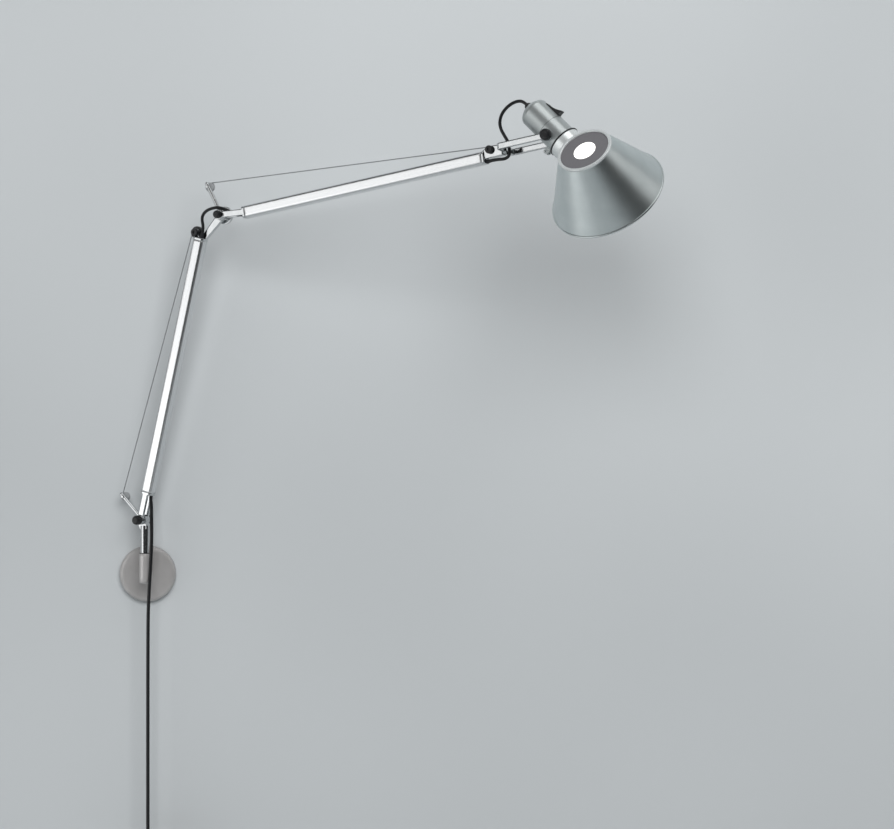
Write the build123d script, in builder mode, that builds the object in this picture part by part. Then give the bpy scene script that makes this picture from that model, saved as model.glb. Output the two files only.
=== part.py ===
"""Articulating wall lamp with two spring balanced arms.

The frame: origin at the centre of the wall plate's back face, the wall is the plane y = 0, +Y goes
into the wall, +X to the right and +Z up. The arms lie in one vertical plane through the stem, turned
swing_angle out from the wall. Sizes are millimetres.

In the plane of an arm, x runs along the arm, y square to it on its upper side, and z, the side
distance, towards the side from which the lamp is seen.
"""
from build123d import *
from math import acos, asin, atan2, cos, degrees, hypot, pi, radians, sin, sqrt, tan
import os

os.makedirs("parts", exist_ok=True)

# ---- clearances ------------------------------------------------------------------------------
running = 0.06        # a pin in its bore, radial
thread_gap = 0.02     # a screw in its tapped hole, radial
slip = 0.15           # a plug in its tube, a pin through a clearance hole
seat = 0.05           # two faces that slide on each other
side_gap = 0.35       # moving cheeks beside each other

# ---- wall plate, cover and sleeve ----------------------------------------------------------------
plate_d, plate_t, plate_rim = 83.3, 2.5, 8.0
plate_wall = 2.0
mount_span, mount_hole_d = 60.0, 5.0
cover_d, cover_depth, cover_wall, cover_bevel = 88.0, 12.0, 2.2, 2.6
stem_out = 43.0                       # the stem's axis stands this far from the wall
sleeve_d, sleeve_low, sleeve_high = 17.0, -13.0, 34.0
neck_w, neck_low = 16.0, -4.0
bush_wall, bush_flange_t, bush_flange_d = 1.2, 1.0, 16.0
neck_screw_d, neck_screw_head_d, neck_screw_head_t, neck_screw_span = 4.0, 7.6, 2.6, 18.0
neck_screw_l = 18.0
grub_d, grub_l = 4.0, 3.6

# ---- swivelling stem -------------------------------------------------------------------------------
swing_angle = 25.0
journal_d, stem_d = 10.0, 13.0
journal_low = -8.0
groove_depth = 0.9
pivot_x, pivot_z = -3.4, 86.7         # the lower pivot in the plane of the arms
tongue_t, hub_d = 9.0, 16.0
post_d, post_l, post_axle_at = 6.0, 58.0, 50.0
lower_post_angle, elbow_post_angle = 45.0, 27.8     # degrees left of vertical, at rest
pin_d, pin_head_d, pin_head_t = 3.0, 4.6, 1.6
pulley_d, pulley_t = 14.0, 5.0
cable_d = 1.5
wrap_pulley = 6.2                     # radius of the cable's centre line round a pulley

# ---- arms ----------------------------------------------------------------------------------------------
lower_tilt, upper_tilt = 76.4, 9.0    # degrees above the horizontal, at rest
tube_start, tube_l = 45.0, 400.0
tube_side, tube_wall, tube_corner = 18.5, 1.5, 4.0
plug_in, collar_t = 20.0, 4.0         # how far an end piece goes into its tube, and its visible collar
prong_t, prong_w, prong_eye, prong_boss = 4.4, 9.0, 15.0, 2.0
pivot_bolt_d = 6.0
knob_d, knob_l = 14.0, 11.0
elbow_out, elbow_side = 45.5, -27.8   # the elbow's pivot beyond the lower tube's end, and beside its axis
upper_drop = -4.2                     # the upper tube's axis, seen from the elbow's pivot
elbow_knob_d, elbow_knob_l = 11.6, 8.0
elbow_disc_d, elbow_disc_t = 27.0, 4.6
link_w, link_low, link_high = 9.5, -4.5, 1.4
lower_roller_out, lower_roller_y, lower_wrap = 10.5, 8.0, 8.6     # out: beyond the tube's end
upper_roller_out, upper_roller_y, upper_wrap = 14.5, 4.8, 5.0
roller_t, roller_rim, cable_slot = 4.4, 1.1, 4.5
cheek_t, roller_pin_d = 2.6, 4.0
roller_knob_d, roller_knob_l = 12.0, 5.5
spring_d, spring_wire, spring_l = 11.0, 1.6, 150.0
spring_gap = 50.0                     # the spring's first loop behind the tube's end
anchor_d, anchor_y = 3.0, 1.4
cord_hole_y, cord_hole_z, grommet_wall = -4.9, -1.8, 1.0
wire_d = 4.8
boot_d, boot_tip_d, boot_l = 7.0, 5.6, 8.0
head_boot_d, head_boot_l, head_boot_y = 6.2, 5.0, -5.9
elbow_boot_y, elbow_boot_z = -4.3, 5.5      # where the wire leaves the lower arm
fork_boot_y = -1.6                    # and where it enters the upper arm, from the tube's axis
wire_room = 6.8                       # height left free for the wire under the wedge

# ---- head ----------------------------------------------------------------------------------------------
twist_y = 1.4                         # the fork's twist axis above the elbow's pivot
twist_turn = 4.3                      # the fork's twist at rest
end_l = 33.0                          # the upper arm's head end piece beyond its tube
twist_pin_d, twist_pin_l = 8.0, 11.0
fork_reach = 79.0                     # from the end piece to the tilt axis
fork_w, fork_t, fork_base = 9.0, 4.4, 5.6
fork_gap = 0.4                        # from the holder's side to a fork arm
tilt_eye_d, tilt_bolt_d = 16.0, 6.0
tilt_knob_d, tilt_knob_l = 16.5, 8.0
holder_tilt = 52.6                    # the lamp holder's dip from the fork at rest
holder_d, holder_wall = 44.0, 2.0
holder_rear, holder_joint, holder_end_r, holder_dome = -77.0, -30.0, 17.5, 6.0
tilt_x, tilt_y = -15.5, -7.2          # the tilt axis, seen from the ring
tilt_boss_d = 15.0
ring_d, ring_t = 50.0, 2.4
lug_gap, lug_t, lug_d, lug_out, lug_x = 5.0, 2.4, 8.0, 5.0, -9.0
relief_d, relief_l, relief_tip = 9.0, 6.0, 3.4
socket_d, socket_low, socket_high, socket_flange_t = 28.0, -26.0, 12.0, 2.0
bulb_d, bulb_centre_x, bulb_base_d = 45.0, 58.0, 13.6
rocker_l, rocker_w, rocker_x, rocker_rise, rocker_gap = 25.0, 11.0, -45.0, 4.6, 1.4
rocker_pin_d, rocker_pin_y = 2.4, 16.0

# ---- shade -----------------------------------------------------------------------------------------------
shade_h, shade_cap_r, shade_rim_r, shade_wall = 86.7, 40.5, 84.5, 1.6
beyond_rim = 200        # how far the cutting cone runs on past the shade's rim
bead_d = 3.6
shade_centre_at, shade_entry = 73.5, 48.5         # ring to the shade's axis, and that point below the cap
shade_turn = -112.7                   # the way the shade opens, about the holder, at rest
neck_tube_d, neck_tube_wall, neck_flange_d, neck_flange_t = 48.0, 2.0, 54.0, 2.2
cap_ring_w, cap_ring_h, cap_recess, lens_d, cap_disc_t = 4.5, 3.0, 2.0, 32.5, 2.0
handle_r, handle_d, handle_tip_d, handle_past_rim, handle_root = 62.0, 9.0, 7.5, 76.0, 41.0

# ---- cord and wires --------------------------------------------------------------------------------------
cord_d = 5.6
coil_r, coil_pitch, coil_layer = 31.0, 6.2, 6.2     # first half turn, step of a whole turn, step of a layer
coil_tail = 26.0
plug_l, plug_sleeve_l, plug_w, plug_h, plug_neck = 36.0, 8.0, 34.0, 13.5, 9.0
plug_pin_d, plug_pin_l, plug_pin_span = 4.0, 19.0, 19.0
tie_t, tie_h, tie_gap = 1.2, 8.0, 0.5

# The power cord from the lower arm's grommet to where its put away length begins.
cord_top_route = [(11.0, -46.2, 110.0), (11.2, -46.6, 90.0), (11.6, -47.4, 66.0), (11.5, -48.3, 54.0)]
cord_route = [(11.5, -48.3, 54.0), (11.36, -49.56, 37.2), (10.1, -51.1, 12.0), (8.8, -51.2, -12.0),
              (7.2, -50.1, -38.0), (5.8, -48.6, -80.0), (5.8, -48.6, -425.0)]
coil_start = (5.8, -48.6, -434.5)     # where the straight cord turns into the first loop

# The wire over the elbow, and the wire from the upper arm through the fork to the lamp holder.
elbow_wire_route = [(94.4, -94.3, 553.93), (101.2, -97.4, 563.8), (114.39, -103.29, 568.1),
                    (124.90, -105.88, 567.9), (134.96, -107.26, 564.04), (143.83, -110.29, 559.54)]
fork_wire_route = [(556.92, -302.70, 619.67), (563.23, -305.64, 626.24), (561.51, -304.83, 636.15)]
head_wire_route = [(561.51, -304.83, 636.15), (560.07, -304.16, 644.42), (554.96, -301.78, 653.15),
                   (549.05, -299.03, 664.26), (547.86, -298.03, 675.67), (551.82, -299.21, 686.95),
                   (560.47, -302.15, 696.69), (571.28, -305.53, 702.52), (581.35, -308.76, 702.53),
                   (586.40, -311.64, 697.03)]


def turned(plane, angle, x=0.0, y=0.0, z=0.0):
    """The plane moved to a point of its own and turned about its normal."""
    along = plane.x_dir * cos(radians(angle)) + plane.y_dir * sin(radians(angle))
    return Plane(origin=plane.from_local_coords((x, y, z)), x_dir=along, z_dir=plane.z_dir)


def across(plane, x, y=0.0, z=0.0):
    """The plane square to x, with the plane's y as its x and the side distance as its y."""
    return Plane(origin=plane.from_local_coords((x, y, z)), x_dir=plane.y_dir, z_dir=plane.x_dir)


def axis_of(plane, x=0.0, y=0.0):
    """The line along the plane's x direction."""
    return Axis(plane.from_local_coords((x, y, 0)), plane.x_dir)


side = radians(swing_angle)
swing = Plane(origin=(0, -stem_out, 0), x_dir=(cos(side), -sin(side), 0), z_dir=(-sin(side), -cos(side), 0))
lower = turned(swing, lower_tilt, pivot_x, pivot_z)
tube_end = tube_start + tube_l
elbow_along = tube_end + elbow_out
lower_roller_x, upper_roller_x = tube_end + lower_roller_out, tube_end + upper_roller_out
elbow = turned(lower, 0, elbow_along, elbow_side)
upper = turned(elbow, upper_tilt - lower_tilt)
knuckle_x = tube_end + end_l
fork_flat = turned(upper, 0, knuckle_x, twist_y)
twist = radians(twist_turn)
fork = Plane(origin=fork_flat.origin, x_dir=fork_flat.x_dir,
             z_dir=fork_flat.z_dir * cos(twist) + fork_flat.y_dir * sin(twist))
head_pivot = turned(fork, -holder_tilt, fork_reach)
head = turned(head_pivot, 0, -tilt_x, -tilt_y)      # origin at the ring's centre, x along the holder

# ================================ wall bracket ========================================================
plate_r, cover_r = plate_d / 2, cover_d / 2
with BuildPart() as wall_plate:
    with BuildSketch(Plane.XY):
        with BuildLine():
            Polyline((0, 0), (plate_r, 0), (plate_r, -plate_rim), (plate_r - plate_wall, -plate_rim),
                     (plate_r - plate_wall, -plate_t), (0, -plate_t), close=True)
        make_face()
    revolve(axis=Axis.Y)
    with Locations(*[Plane(origin=(x, -plate_t, 0), z_dir=(0, -1, 0))
                     for x in (-mount_span / 2, mount_span / 2)]):
        Hole(mount_hole_d / 2)
wall_plate.part.label = "wall_plate"
export_step(wall_plate.part, "parts/wall_plate.step")

neck_mid = (sleeve_high + neck_low) / 2
neck_screw_z = (neck_mid - neck_screw_span / 2, neck_mid + neck_screw_span / 2)
cover_back = cover_depth - cover_wall
with BuildPart() as plate_cover:
    with BuildSketch(Plane.XY):
        with BuildLine():
            Polyline((0, -cover_depth), (cover_r - cover_bevel, -cover_depth),
                     (cover_r, -cover_depth + cover_bevel), (cover_r, -seat),
                     (cover_r - cover_wall, -seat), (cover_r - cover_wall, -cover_back),
                     (0, -cover_back), close=True)
        make_face()
    revolve(axis=Axis.Y)
    with Locations(*[Plane(origin=(0, -cover_depth, z), z_dir=(0, -1, 0)) for z in neck_screw_z]):
        Hole(neck_screw_d / 2 + slip)
    with Locations(Plane(origin=(0, -plate_rim / 2, -cover_r), z_dir=(0, 0, -1))):
        Hole(grub_d / 2 + thread_gap, depth=cover_wall * 2)
plate_cover.part.label = "plate_cover"
export_step(plate_cover.part, "parts/plate_cover.step")


bush_d = journal_d + 2 * running + 2 * bush_wall
grub_z = journal_low + 12
with BuildPart() as sleeve:
    with BuildSketch(Plane.XY.offset(sleeve_low)):
        with Locations((0, -stem_out)):
            Circle(sleeve_d / 2)
    extrude(amount=sleeve_high - sleeve_low)
    fillet(sleeve.edges().group_by(Axis.Z)[0], sleeve_d / 4)
    with BuildSketch(Plane.XZ.offset(cover_depth)):
        with BuildLine():
            Polyline((-neck_w / 2, neck_low + neck_w / 2), (-neck_w / 2, sleeve_high),
                     (neck_w / 2, sleeve_high), (neck_w / 2, neck_low + neck_w / 2))
            RadiusArc((neck_w / 2, neck_low + neck_w / 2), (-neck_w / 2, neck_low + neck_w / 2), neck_w / 2)
        make_face()
    extrude(amount=stem_out - cover_depth)
    with Locations(Plane(origin=(0, -stem_out, sleeve_high))):
        Hole(bush_d / 2 + thread_gap, depth=sleeve_high - journal_low + 1.0)
    with Locations(*[Plane(origin=(0, -cover_depth, z), z_dir=(0, 1, 0)) for z in neck_screw_z]):
        Hole(neck_screw_d / 2 + thread_gap, depth=neck_screw_l)
    with Locations(Plane(origin=(sleeve_d / 2, -stem_out, grub_z), z_dir=(1, 0, 0))):
        Hole(grub_d / 2 + thread_gap, depth=sleeve_d / 4)
sleeve.part.label = "sleeve"
export_step(sleeve.part, "parts/sleeve.step")

with BuildPart() as neck_screws:
    for z in neck_screw_z:
        with BuildSketch(Plane(origin=(0, -cover_back + seat + neck_screw_head_t, z), z_dir=(0, -1, 0))):
            Circle(neck_screw_head_d / 2)
        extrude(amount=neck_screw_head_t)
        with BuildSketch(Plane(origin=(0, -cover_back + seat, z), z_dir=(0, -1, 0))):
            Circle(neck_screw_d / 2)
        extrude(amount=neck_screw_l + cover_wall - 1.5)
neck_screws.part.label = "neck_screws"
export_step(neck_screws.part, "parts/neck_screws.step")

with BuildPart() as stem_bush:
    with BuildSketch(Plane.XY.offset(journal_low)):
        with Locations((0, -stem_out)):
            Circle(bush_d / 2)
    extrude(amount=sleeve_high - journal_low)
    with BuildSketch(Plane.XY.offset(sleeve_high)):
        with Locations((0, -stem_out)):
            Circle(bush_flange_d / 2)
    extrude(amount=bush_flange_t)
    with Locations(Plane(origin=(0, -stem_out, sleeve_high + bush_flange_t))):
        Hole(journal_d / 2 + running)
    with Locations(Plane(origin=(sleeve_d / 2, -stem_out, grub_z), z_dir=(1, 0, 0))):
        Hole(grub_d / 2 + slip, depth=sleeve_d / 2)
stem_bush.part.label = "stem_bush"
export_step(stem_bush.part, "parts/stem_bush.step")

with BuildPart() as grub_screws:
    with BuildSketch(Plane(origin=(0, -plate_rim / 2, -plate_r - seat), z_dir=(0, 0, -1))):
        Circle(grub_d / 2)
    extrude(amount=cover_r - plate_r - seat)
    with BuildSketch(Plane(origin=(sleeve_d / 2 - 0.1, -stem_out, grub_z), z_dir=(-1, 0, 0))):
        Circle(grub_d / 2)
    extrude(amount=sleeve_d / 2 - 0.1 - (journal_d / 2 - groove_depth + side_gap))
grub_screws.part.label = "grub_screws"
export_step(grub_screws.part, "parts/grub_screws.step")

# ================================ swivelling stem ========================================================
stem_foot = sleeve_high + bush_flange_t + seat
with BuildPart() as stem:
    with BuildSketch(Plane.XY.offset(journal_low)):
        with Locations((0, -stem_out)):
            Circle(journal_d / 2)
    extrude(amount=stem_foot - journal_low)
    with BuildSketch(Plane.XY.offset(grub_z - grub_d / 2 - side_gap)):
        with Locations((0, -stem_out)):
            Circle(journal_d / 2 + 1)
            Circle(journal_d / 2 - groove_depth, mode=Mode.SUBTRACT)
    extrude(amount=grub_d + 2 * side_gap, mode=Mode.SUBTRACT)
    with BuildSketch(Plane.XY.offset(stem_foot)):
        with Locations((0, -stem_out)):
            Circle(stem_d / 2)
    extrude(amount=pivot_z - hub_d / 2 - 1.0 - stem_foot)
    with BuildSketch(swing.offset(-tongue_t / 2)):
        with BuildLine():
            Polyline((-stem_d / 2 + 0.8, pivot_z - hub_d / 2 - 6),
                     (stem_d / 2 - 0.8, pivot_z - hub_d / 2 - 6), (pivot_x + hub_d / 2, pivot_z),
                     (pivot_x - hub_d / 2, pivot_z), close=True)
        make_face()
        with Locations((pivot_x, pivot_z)):
            Circle(hub_d / 2)
    extrude(amount=tongue_t)
    with BuildSketch(turned(swing, 0, pivot_x, pivot_z, -tongue_t / 2)):
        Circle(pivot_bolt_d / 2 + running)
    extrude(amount=tongue_t, mode=Mode.SUBTRACT)
stem.part.label = "stem"
export_step(stem.part, "parts/stem.step")


def tie_post(hub_plane):
    """A post, set radially in a hub, with its cross hole: hub_plane has x along the post."""
    root = hub_d / 2 - 0.4
    with BuildPart() as post:
        with BuildSketch(across(hub_plane, root)):
            Circle(post_d / 2)
        extrude(amount=post_l - root)
        fillet(post.faces().sort_by(axis_of(hub_plane))[-1].edges(), post_d / 2 - 0.6)
        with BuildSketch(turned(hub_plane, 0, post_axle_at, 0, -post_d)):
            Circle(pin_d / 2 + thread_gap)
        extrude(amount=2 * post_d, mode=Mode.SUBTRACT)
        with BuildSketch(turned(hub_plane, 0, 0, 0, -post_d)):
            Circle(hub_d / 2 + thread_gap)
        extrude(amount=2 * post_d, mode=Mode.SUBTRACT)
    return post.part


pulley_side = -(post_d / 2 + side_gap)          # the pulleys run on the far side of their posts


def post_pin(hub_plane):
    """The cross pin in a post, with a head on the near side and the pulley's axle on the far side."""
    far = pulley_side - pulley_t - side_gap
    with BuildPart() as pin:
        with BuildSketch(turned(hub_plane, 0, post_axle_at, 0, far - pin_head_t)):
            Circle(pin_head_d / 2)
        extrude(amount=pin_head_t)
        with BuildSketch(turned(hub_plane, 0, post_axle_at, 0, far)):
            Circle(pin_d / 2)
        extrude(amount=post_d / 2 - far)
        with BuildSketch(turned(hub_plane, 0, post_axle_at, 0, post_d / 2)):
            Circle(pin_head_d / 2)
        extrude(amount=pin_head_t)
        fillet(pin.faces().sort_by(Axis(hub_plane.origin, hub_plane.z_dir))[-1].edges(), pin_head_t / 2)
    return pin.part


def grooved_wheel(plane, x, y, z, thick, wrap, rim, bore):
    """A wheel with a cable groove: wrap is the radius of the cable's centre line."""
    floor_r, rim_r = wrap - cable_d / 2 - seat, wrap + rim
    groove = cable_d / 2 + side_gap
    with BuildPart() as wheel:
        with BuildSketch(Plane(origin=plane.from_local_coords((x, y, z)), x_dir=plane.x_dir,
                               z_dir=-plane.y_dir)):
            with BuildLine():
                Polyline((bore, -thick / 2), (rim_r, -thick / 2), (rim_r, -groove - 0.4), (floor_r, -groove),
                         (floor_r, groove), (rim_r, groove + 0.4), (rim_r, thick / 2), (bore, thick / 2),
                         close=True)
            make_face()
        revolve(axis=Axis(plane.from_local_coords((x, y, z)), plane.z_dir))
    return wheel.part


lower_hub = turned(lower, 90 + lower_post_angle - lower_tilt)
elbow_hub = turned(elbow, 90 + elbow_post_angle - lower_tilt)
pulley_z = pulley_side - pulley_t / 2
pulley_rim = pulley_d / 2 - wrap_pulley

lower_post = tie_post(lower_hub)
lower_post.label = "lower_post"
export_step(lower_post, "parts/lower_post.step")
lower_post_pin = post_pin(lower_hub)
lower_post_pin.label = "lower_post_pin"
export_step(lower_post_pin, "parts/lower_post_pin.step")
lower_pulley = grooved_wheel(lower_hub, post_axle_at, 0, pulley_z, pulley_t, wrap_pulley, pulley_rim,
                             pin_d / 2 + running)
lower_pulley.label = "lower_pulley"
export_step(lower_pulley, "parts/lower_pulley.step")
elbow_post = tie_post(elbow_hub)
elbow_post.label = "elbow_post"
export_step(elbow_post, "parts/elbow_post.step")
elbow_post_pin = post_pin(elbow_hub)
elbow_post_pin.label = "elbow_post_pin"
export_step(elbow_post_pin, "parts/elbow_post_pin.step")
elbow_pulley = grooved_wheel(elbow_hub, post_axle_at, 0, pulley_z, pulley_t, wrap_pulley, pulley_rim,
                             pin_d / 2 + running)
elbow_pulley.label = "elbow_pulley"
export_step(elbow_pulley, "parts/elbow_pulley.step")

# ================================ arms ====================================================================
fork_in = tongue_t / 2 + side_gap               # inner faces of an arm's prongs
fork_out = fork_in + prong_t


def arm_tube(plane, y):
    """A square aluminium tube with rounded corners."""
    with BuildPart() as tube:
        with BuildSketch(across(plane, tube_start, y)):
            RectangleRounded(tube_side, tube_side, tube_corner)
            RectangleRounded(tube_side - 2 * tube_wall, tube_side - 2 * tube_wall, tube_corner - tube_wall,
                             mode=Mode.SUBTRACT)
        extrude(amount=tube_l)
    return tube.part


plug_side = tube_side - 2 * (tube_wall + slip)


def arm_fork(plane, y, bolt_r, near_boss, cord_hole_r):
    """The end piece at an arm's pivot: a plug in the tube, a collar and two prongs."""
    face = tube_start - collar_t
    with BuildPart() as piece:
        with BuildSketch(across(plane, tube_start, y)):
            RectangleRounded(plug_side, plug_side, tube_corner - tube_wall)
        extrude(amount=plug_in)
        with BuildSketch(across(plane, face, y)):
            RectangleRounded(tube_side, tube_side, tube_corner)
        extrude(amount=collar_t)
        for z in (fork_in, -fork_out):
            with BuildSketch(turned(plane, 0, 0, 0, z)):
                with BuildLine():
                    Polyline((0, prong_w / 2), (face + 1, y + prong_w / 2), (face + 1, y - prong_w / 2),
                             (0, -prong_w / 2), close=True)
                make_face()
                Circle(prong_eye / 2)
            extrude(amount=prong_t)
        with BuildSketch(turned(plane, 0, 0, 0, fork_out)):
            Circle(prong_eye / 2)
        extrude(amount=near_boss)
        with BuildSketch(turned(plane, 0, 0, 0, -fork_out)):
            Circle(bolt_r + thread_gap)
        extrude(amount=2 * fork_out + near_boss, mode=Mode.SUBTRACT)
        with BuildSketch(across(plane, face, y + anchor_y)):
            Circle(anchor_d / 2 + thread_gap)
        extrude(amount=collar_t + plug_in, mode=Mode.SUBTRACT)
        if cord_hole_r:
            with BuildSketch(across(plane, face, y + cord_hole_y, cord_hole_z)):
                Circle(cord_hole_r)
            extrude(amount=collar_t + plug_in, mode=Mode.SUBTRACT)
    return piece.part


def round_knob(plane, x, y, z, d, length, bore_r, dome):
    """A round knob whose face is at z, with a domed end and a blind bore."""
    with BuildPart() as knob:
        with BuildSketch(turned(plane, 0, x, y, z)):
            Circle(d / 2)
            Circle(bore_r, mode=Mode.SUBTRACT)
        extrude(amount=length - 2.5)
        with BuildSketch(turned(plane, 0, x, y, z + length - 2.5)):
            Circle(d / 2)
        extrude(amount=2.5)
        fillet(knob.faces().sort_by(Axis(plane.origin, plane.z_dir))[-1].edges(), dome)
    return knob.part


def bolt(plane, x, y, face, head_side, head_l, dome, high, d):
    """A bolt across an arm; its round head lies on the far side's face and its shank ends at high."""
    with BuildPart() as piece:
        with BuildSketch(turned(plane, 0, x, y, face - head_l)):
            Circle(head_side / 2)
        extrude(amount=head_l)
        fillet(piece.faces().sort_by(Axis(plane.origin, plane.z_dir))[0].edges(), dome)
        with BuildSketch(turned(plane, 0, x, y, face - 0.5)):
            Circle(d / 2)
        extrude(amount=high - face + 0.5)
    return piece.part


def spring(plane, y):
    """A closed wound tension spring: a loop for the cable, and an end plug with the rod to the pivot."""
    near, far = tube_end - spring_gap, tube_end - spring_gap - spring_l
    with BuildPart() as coil:
        with BuildSketch(across(plane, far, y)):
            Circle(spring_d / 2)
            Circle(spring_d / 2 - spring_wire, mode=Mode.SUBTRACT)
        extrude(amount=spring_l)
        with BuildSketch(Plane(origin=plane.from_local_coords((near, y + spring_d / 2 - spring_wire / 2, 0)),
                               x_dir=plane.z_dir, z_dir=plane.x_dir)):
            Circle(spring_wire / 2 - 0.2)
        revolve(axis=Axis(plane.from_local_coords((near, y, 0)), plane.z_dir), revolution_arc=-180)
        with BuildSketch(across(plane, far, y)):
            Circle(spring_d / 2)
        extrude(amount=3.0)
        with BuildSketch(across(plane, tube_start + 2, y + anchor_y)):
            Circle(anchor_d / 2)
        extrude(amount=far - tube_start - 1)
    return coil.part


def cable_path_plane(plane, post_x, post_y, roller_x, roller_y):
    """The plane of a tension cable, which slopes from the post's pulley to the roller between the cheeks."""
    start = plane.from_local_coords((post_x, post_y, pulley_z))
    end = plane.from_local_coords((roller_x, roller_y, 0))
    along = (end - start).normalized()
    normal = (plane.z_dir - along * plane.z_dir.dot(along)).normalized()
    return Plane(origin=end, x_dir=along, z_dir=normal), (end - start).length


def tension_cable(plane, hub_angle, roller_x, roller_y, wrap, spring_y):
    """The cable: round the post's pulley, along the arm, round its roller and back to the spring."""
    post_x, post_y = post_axle_at * cos(radians(hub_angle)), post_axle_at * sin(radians(hub_angle))
    cable, reach = cable_path_plane(plane, post_x, post_y, roller_x, roller_y)
    lean = degrees(asin((wrap - wrap_pulley) / reach))
    loop_x = tube_end - spring_gap + spring_d / 2 + side_gap
    loop = cable.to_local_coords(plane.from_local_coords((loop_x, spring_y, 0)))
    leave = degrees(atan2(loop.Y, loop.X)) % 360 + degrees(acos(wrap / hypot(loop.X, loop.Y))) - 360
    inside = sqrt(loop.X ** 2 + loop.Y ** 2 - wrap ** 2)
    normal = (-sin(radians(lean)), cos(radians(lean)))
    with BuildPart() as piece:
        with BuildLine(cable) as path:
            CenterArc((-reach, 0), wrap_pulley, 90 + lean + 200, -200)
            Line((-reach + wrap_pulley * normal[0], wrap_pulley * normal[1]),
                 (wrap * normal[0], wrap * normal[1]))
            turn = CenterArc((0, 0), wrap, 90 + lean, leave - 90 - lean)
            Line(turn @ 1, turn @ 1 + (turn % 1) * inside)
        with BuildSketch(Plane(origin=path.line @ 0, z_dir=path.line % 0)):
            Circle(cable_d / 2)
        sweep()
    return piece.part


lower_tube = arm_tube(lower, 0)
lower_tube.label = "lower_tube"
export_step(lower_tube, "parts/lower_tube.step")
lower_fork = arm_fork(lower, 0, pivot_bolt_d / 2, prong_boss, cord_d / 2 + grommet_wall)
lower_fork.label = "lower_fork"
export_step(lower_fork, "parts/lower_fork.step")

with BuildPart() as cord_grommet:
    with BuildSketch(across(lower, tube_start - collar_t, cord_hole_y, cord_hole_z)):
        Circle(cord_d / 2 + grommet_wall - thread_gap)
        Circle(cord_d / 2 + thread_gap, mode=Mode.SUBTRACT)
    extrude(amount=collar_t)
cord_grommet.part.label = "cord_grommet"
export_step(cord_grommet.part, "parts/cord_grommet.step")

knob_bore = pivot_bolt_d / 2 + running
near_face = fork_out + prong_boss + seat
lower_bolt = bolt(lower, 0, 0, -fork_out - seat, knob_d, knob_l, 3.6, near_face + knob_l - 3, pivot_bolt_d)
lower_bolt.label = "lower_bolt"
export_step(lower_bolt, "parts/lower_bolt.step")
lower_knob = round_knob(lower, 0, 0, near_face, knob_d, knob_l, knob_bore, 3.6)
lower_knob.label = "lower_knob"
export_step(lower_knob, "parts/lower_knob.step")

# The piece at the top of the lower arm: plug, collar, two cheeks for the roller and the elbow's link.
cheek_in = roller_t / 2 + side_gap
slot_r = lower_wrap + roller_rim + 0.8
link_x, link_y = tube_end + collar_t - 1, -4.6
with BuildPart() as lower_end:
    with BuildSketch(across(lower, tube_end - plug_in)):
        RectangleRounded(plug_side, plug_side, tube_corner - tube_wall)
    extrude(amount=plug_in)
    with BuildSketch(across(lower, tube_end)):
        RectangleRounded(tube_side, tube_side, tube_corner)
    extrude(amount=collar_t)
    for z in (cheek_in, -cheek_in - cheek_t):
        with BuildSketch(turned(lower, 0, 0, 0, z)):
            with BuildLine():
                Polyline((tube_end + 1, -1.0), (tube_end + 1, tube_side / 2 - 1),
                         (lower_roller_x, lower_roller_y + 6.2), (lower_roller_x, lower_roller_y - 6.2),
                         close=True)
            make_face()
            with Locations((lower_roller_x, lower_roller_y)):
                Circle(6.2)
        extrude(amount=cheek_t)
    with BuildSketch(turned(lower, 0, 0, 0, link_low)):
        with BuildLine():
            Polyline((link_x, link_y + link_w / 2), (elbow_along + 2, elbow_side + link_w / 2 + 1),
                     (elbow_along - 5, elbow_side - link_w / 2), (link_x, link_y - link_w / 2), close=True)
        make_face()
    extrude(amount=link_high - link_low)
    with BuildSketch(turned(elbow, 0, 0, 0, -tongue_t / 2)):
        Circle(hub_d / 2)
    extrude(amount=tongue_t)
    with BuildSketch(turned(lower, 0, 0, 0, -cheek_in)):
        with Locations((lower_roller_x, lower_roller_y)):
            Circle(slot_r)
        with Locations((tube_end - plug_in, lower_roller_y - lower_wrap)):
            Rectangle(lower_roller_x - tube_end + plug_in, cable_slot, align=(Align.MIN, Align.CENTER))
    extrude(amount=2 * cheek_in, mode=Mode.SUBTRACT)
    with BuildSketch(turned(lower, 0, lower_roller_x, lower_roller_y, -12)):
        Circle(roller_pin_d / 2 + thread_gap)
    extrude(amount=24, mode=Mode.SUBTRACT)
    with BuildSketch(turned(elbow, 0, 0, 0, -tongue_t / 2)):
        Circle(pivot_bolt_d / 2 + running)
    extrude(amount=tongue_t, mode=Mode.SUBTRACT)
lower_end.part.label = "lower_end"
export_step(lower_end.part, "parts/lower_end.step")

lower_roller = grooved_wheel(lower, lower_roller_x, lower_roller_y, 0, roller_t, lower_wrap, roller_rim,
                             roller_pin_d / 2 + running)
lower_roller.label = "lower_roller"
export_step(lower_roller, "parts/lower_roller.step")


def roller_bolt(plane, x, y, face):
    """A roller's axle with a round black head on each side, seated at the face."""
    with BuildPart() as axle:
        with BuildSketch(turned(plane, 0, x, y, -face)):
            Circle(roller_pin_d / 2)
        extrude(amount=2 * face)
        for z, way in ((face, 1), (-face, -1)):
            with BuildSketch(turned(plane, 0, x, y, z)):
                Circle(roller_knob_d / 2)
            extrude(amount=roller_knob_l * way)
        heads = axle.faces().sort_by(Axis(plane.origin, plane.z_dir))
        fillet(heads[0].edges() + heads[-1].edges(), 1.4)
        for z, way in ((face + roller_knob_l, -1), (-face - roller_knob_l, 1)):
            with BuildSketch(turned(plane, 0, x, y, z)):
                Circle(roller_knob_d / 5)
            extrude(amount=2.0 * way, mode=Mode.SUBTRACT)
    return axle.part


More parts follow.
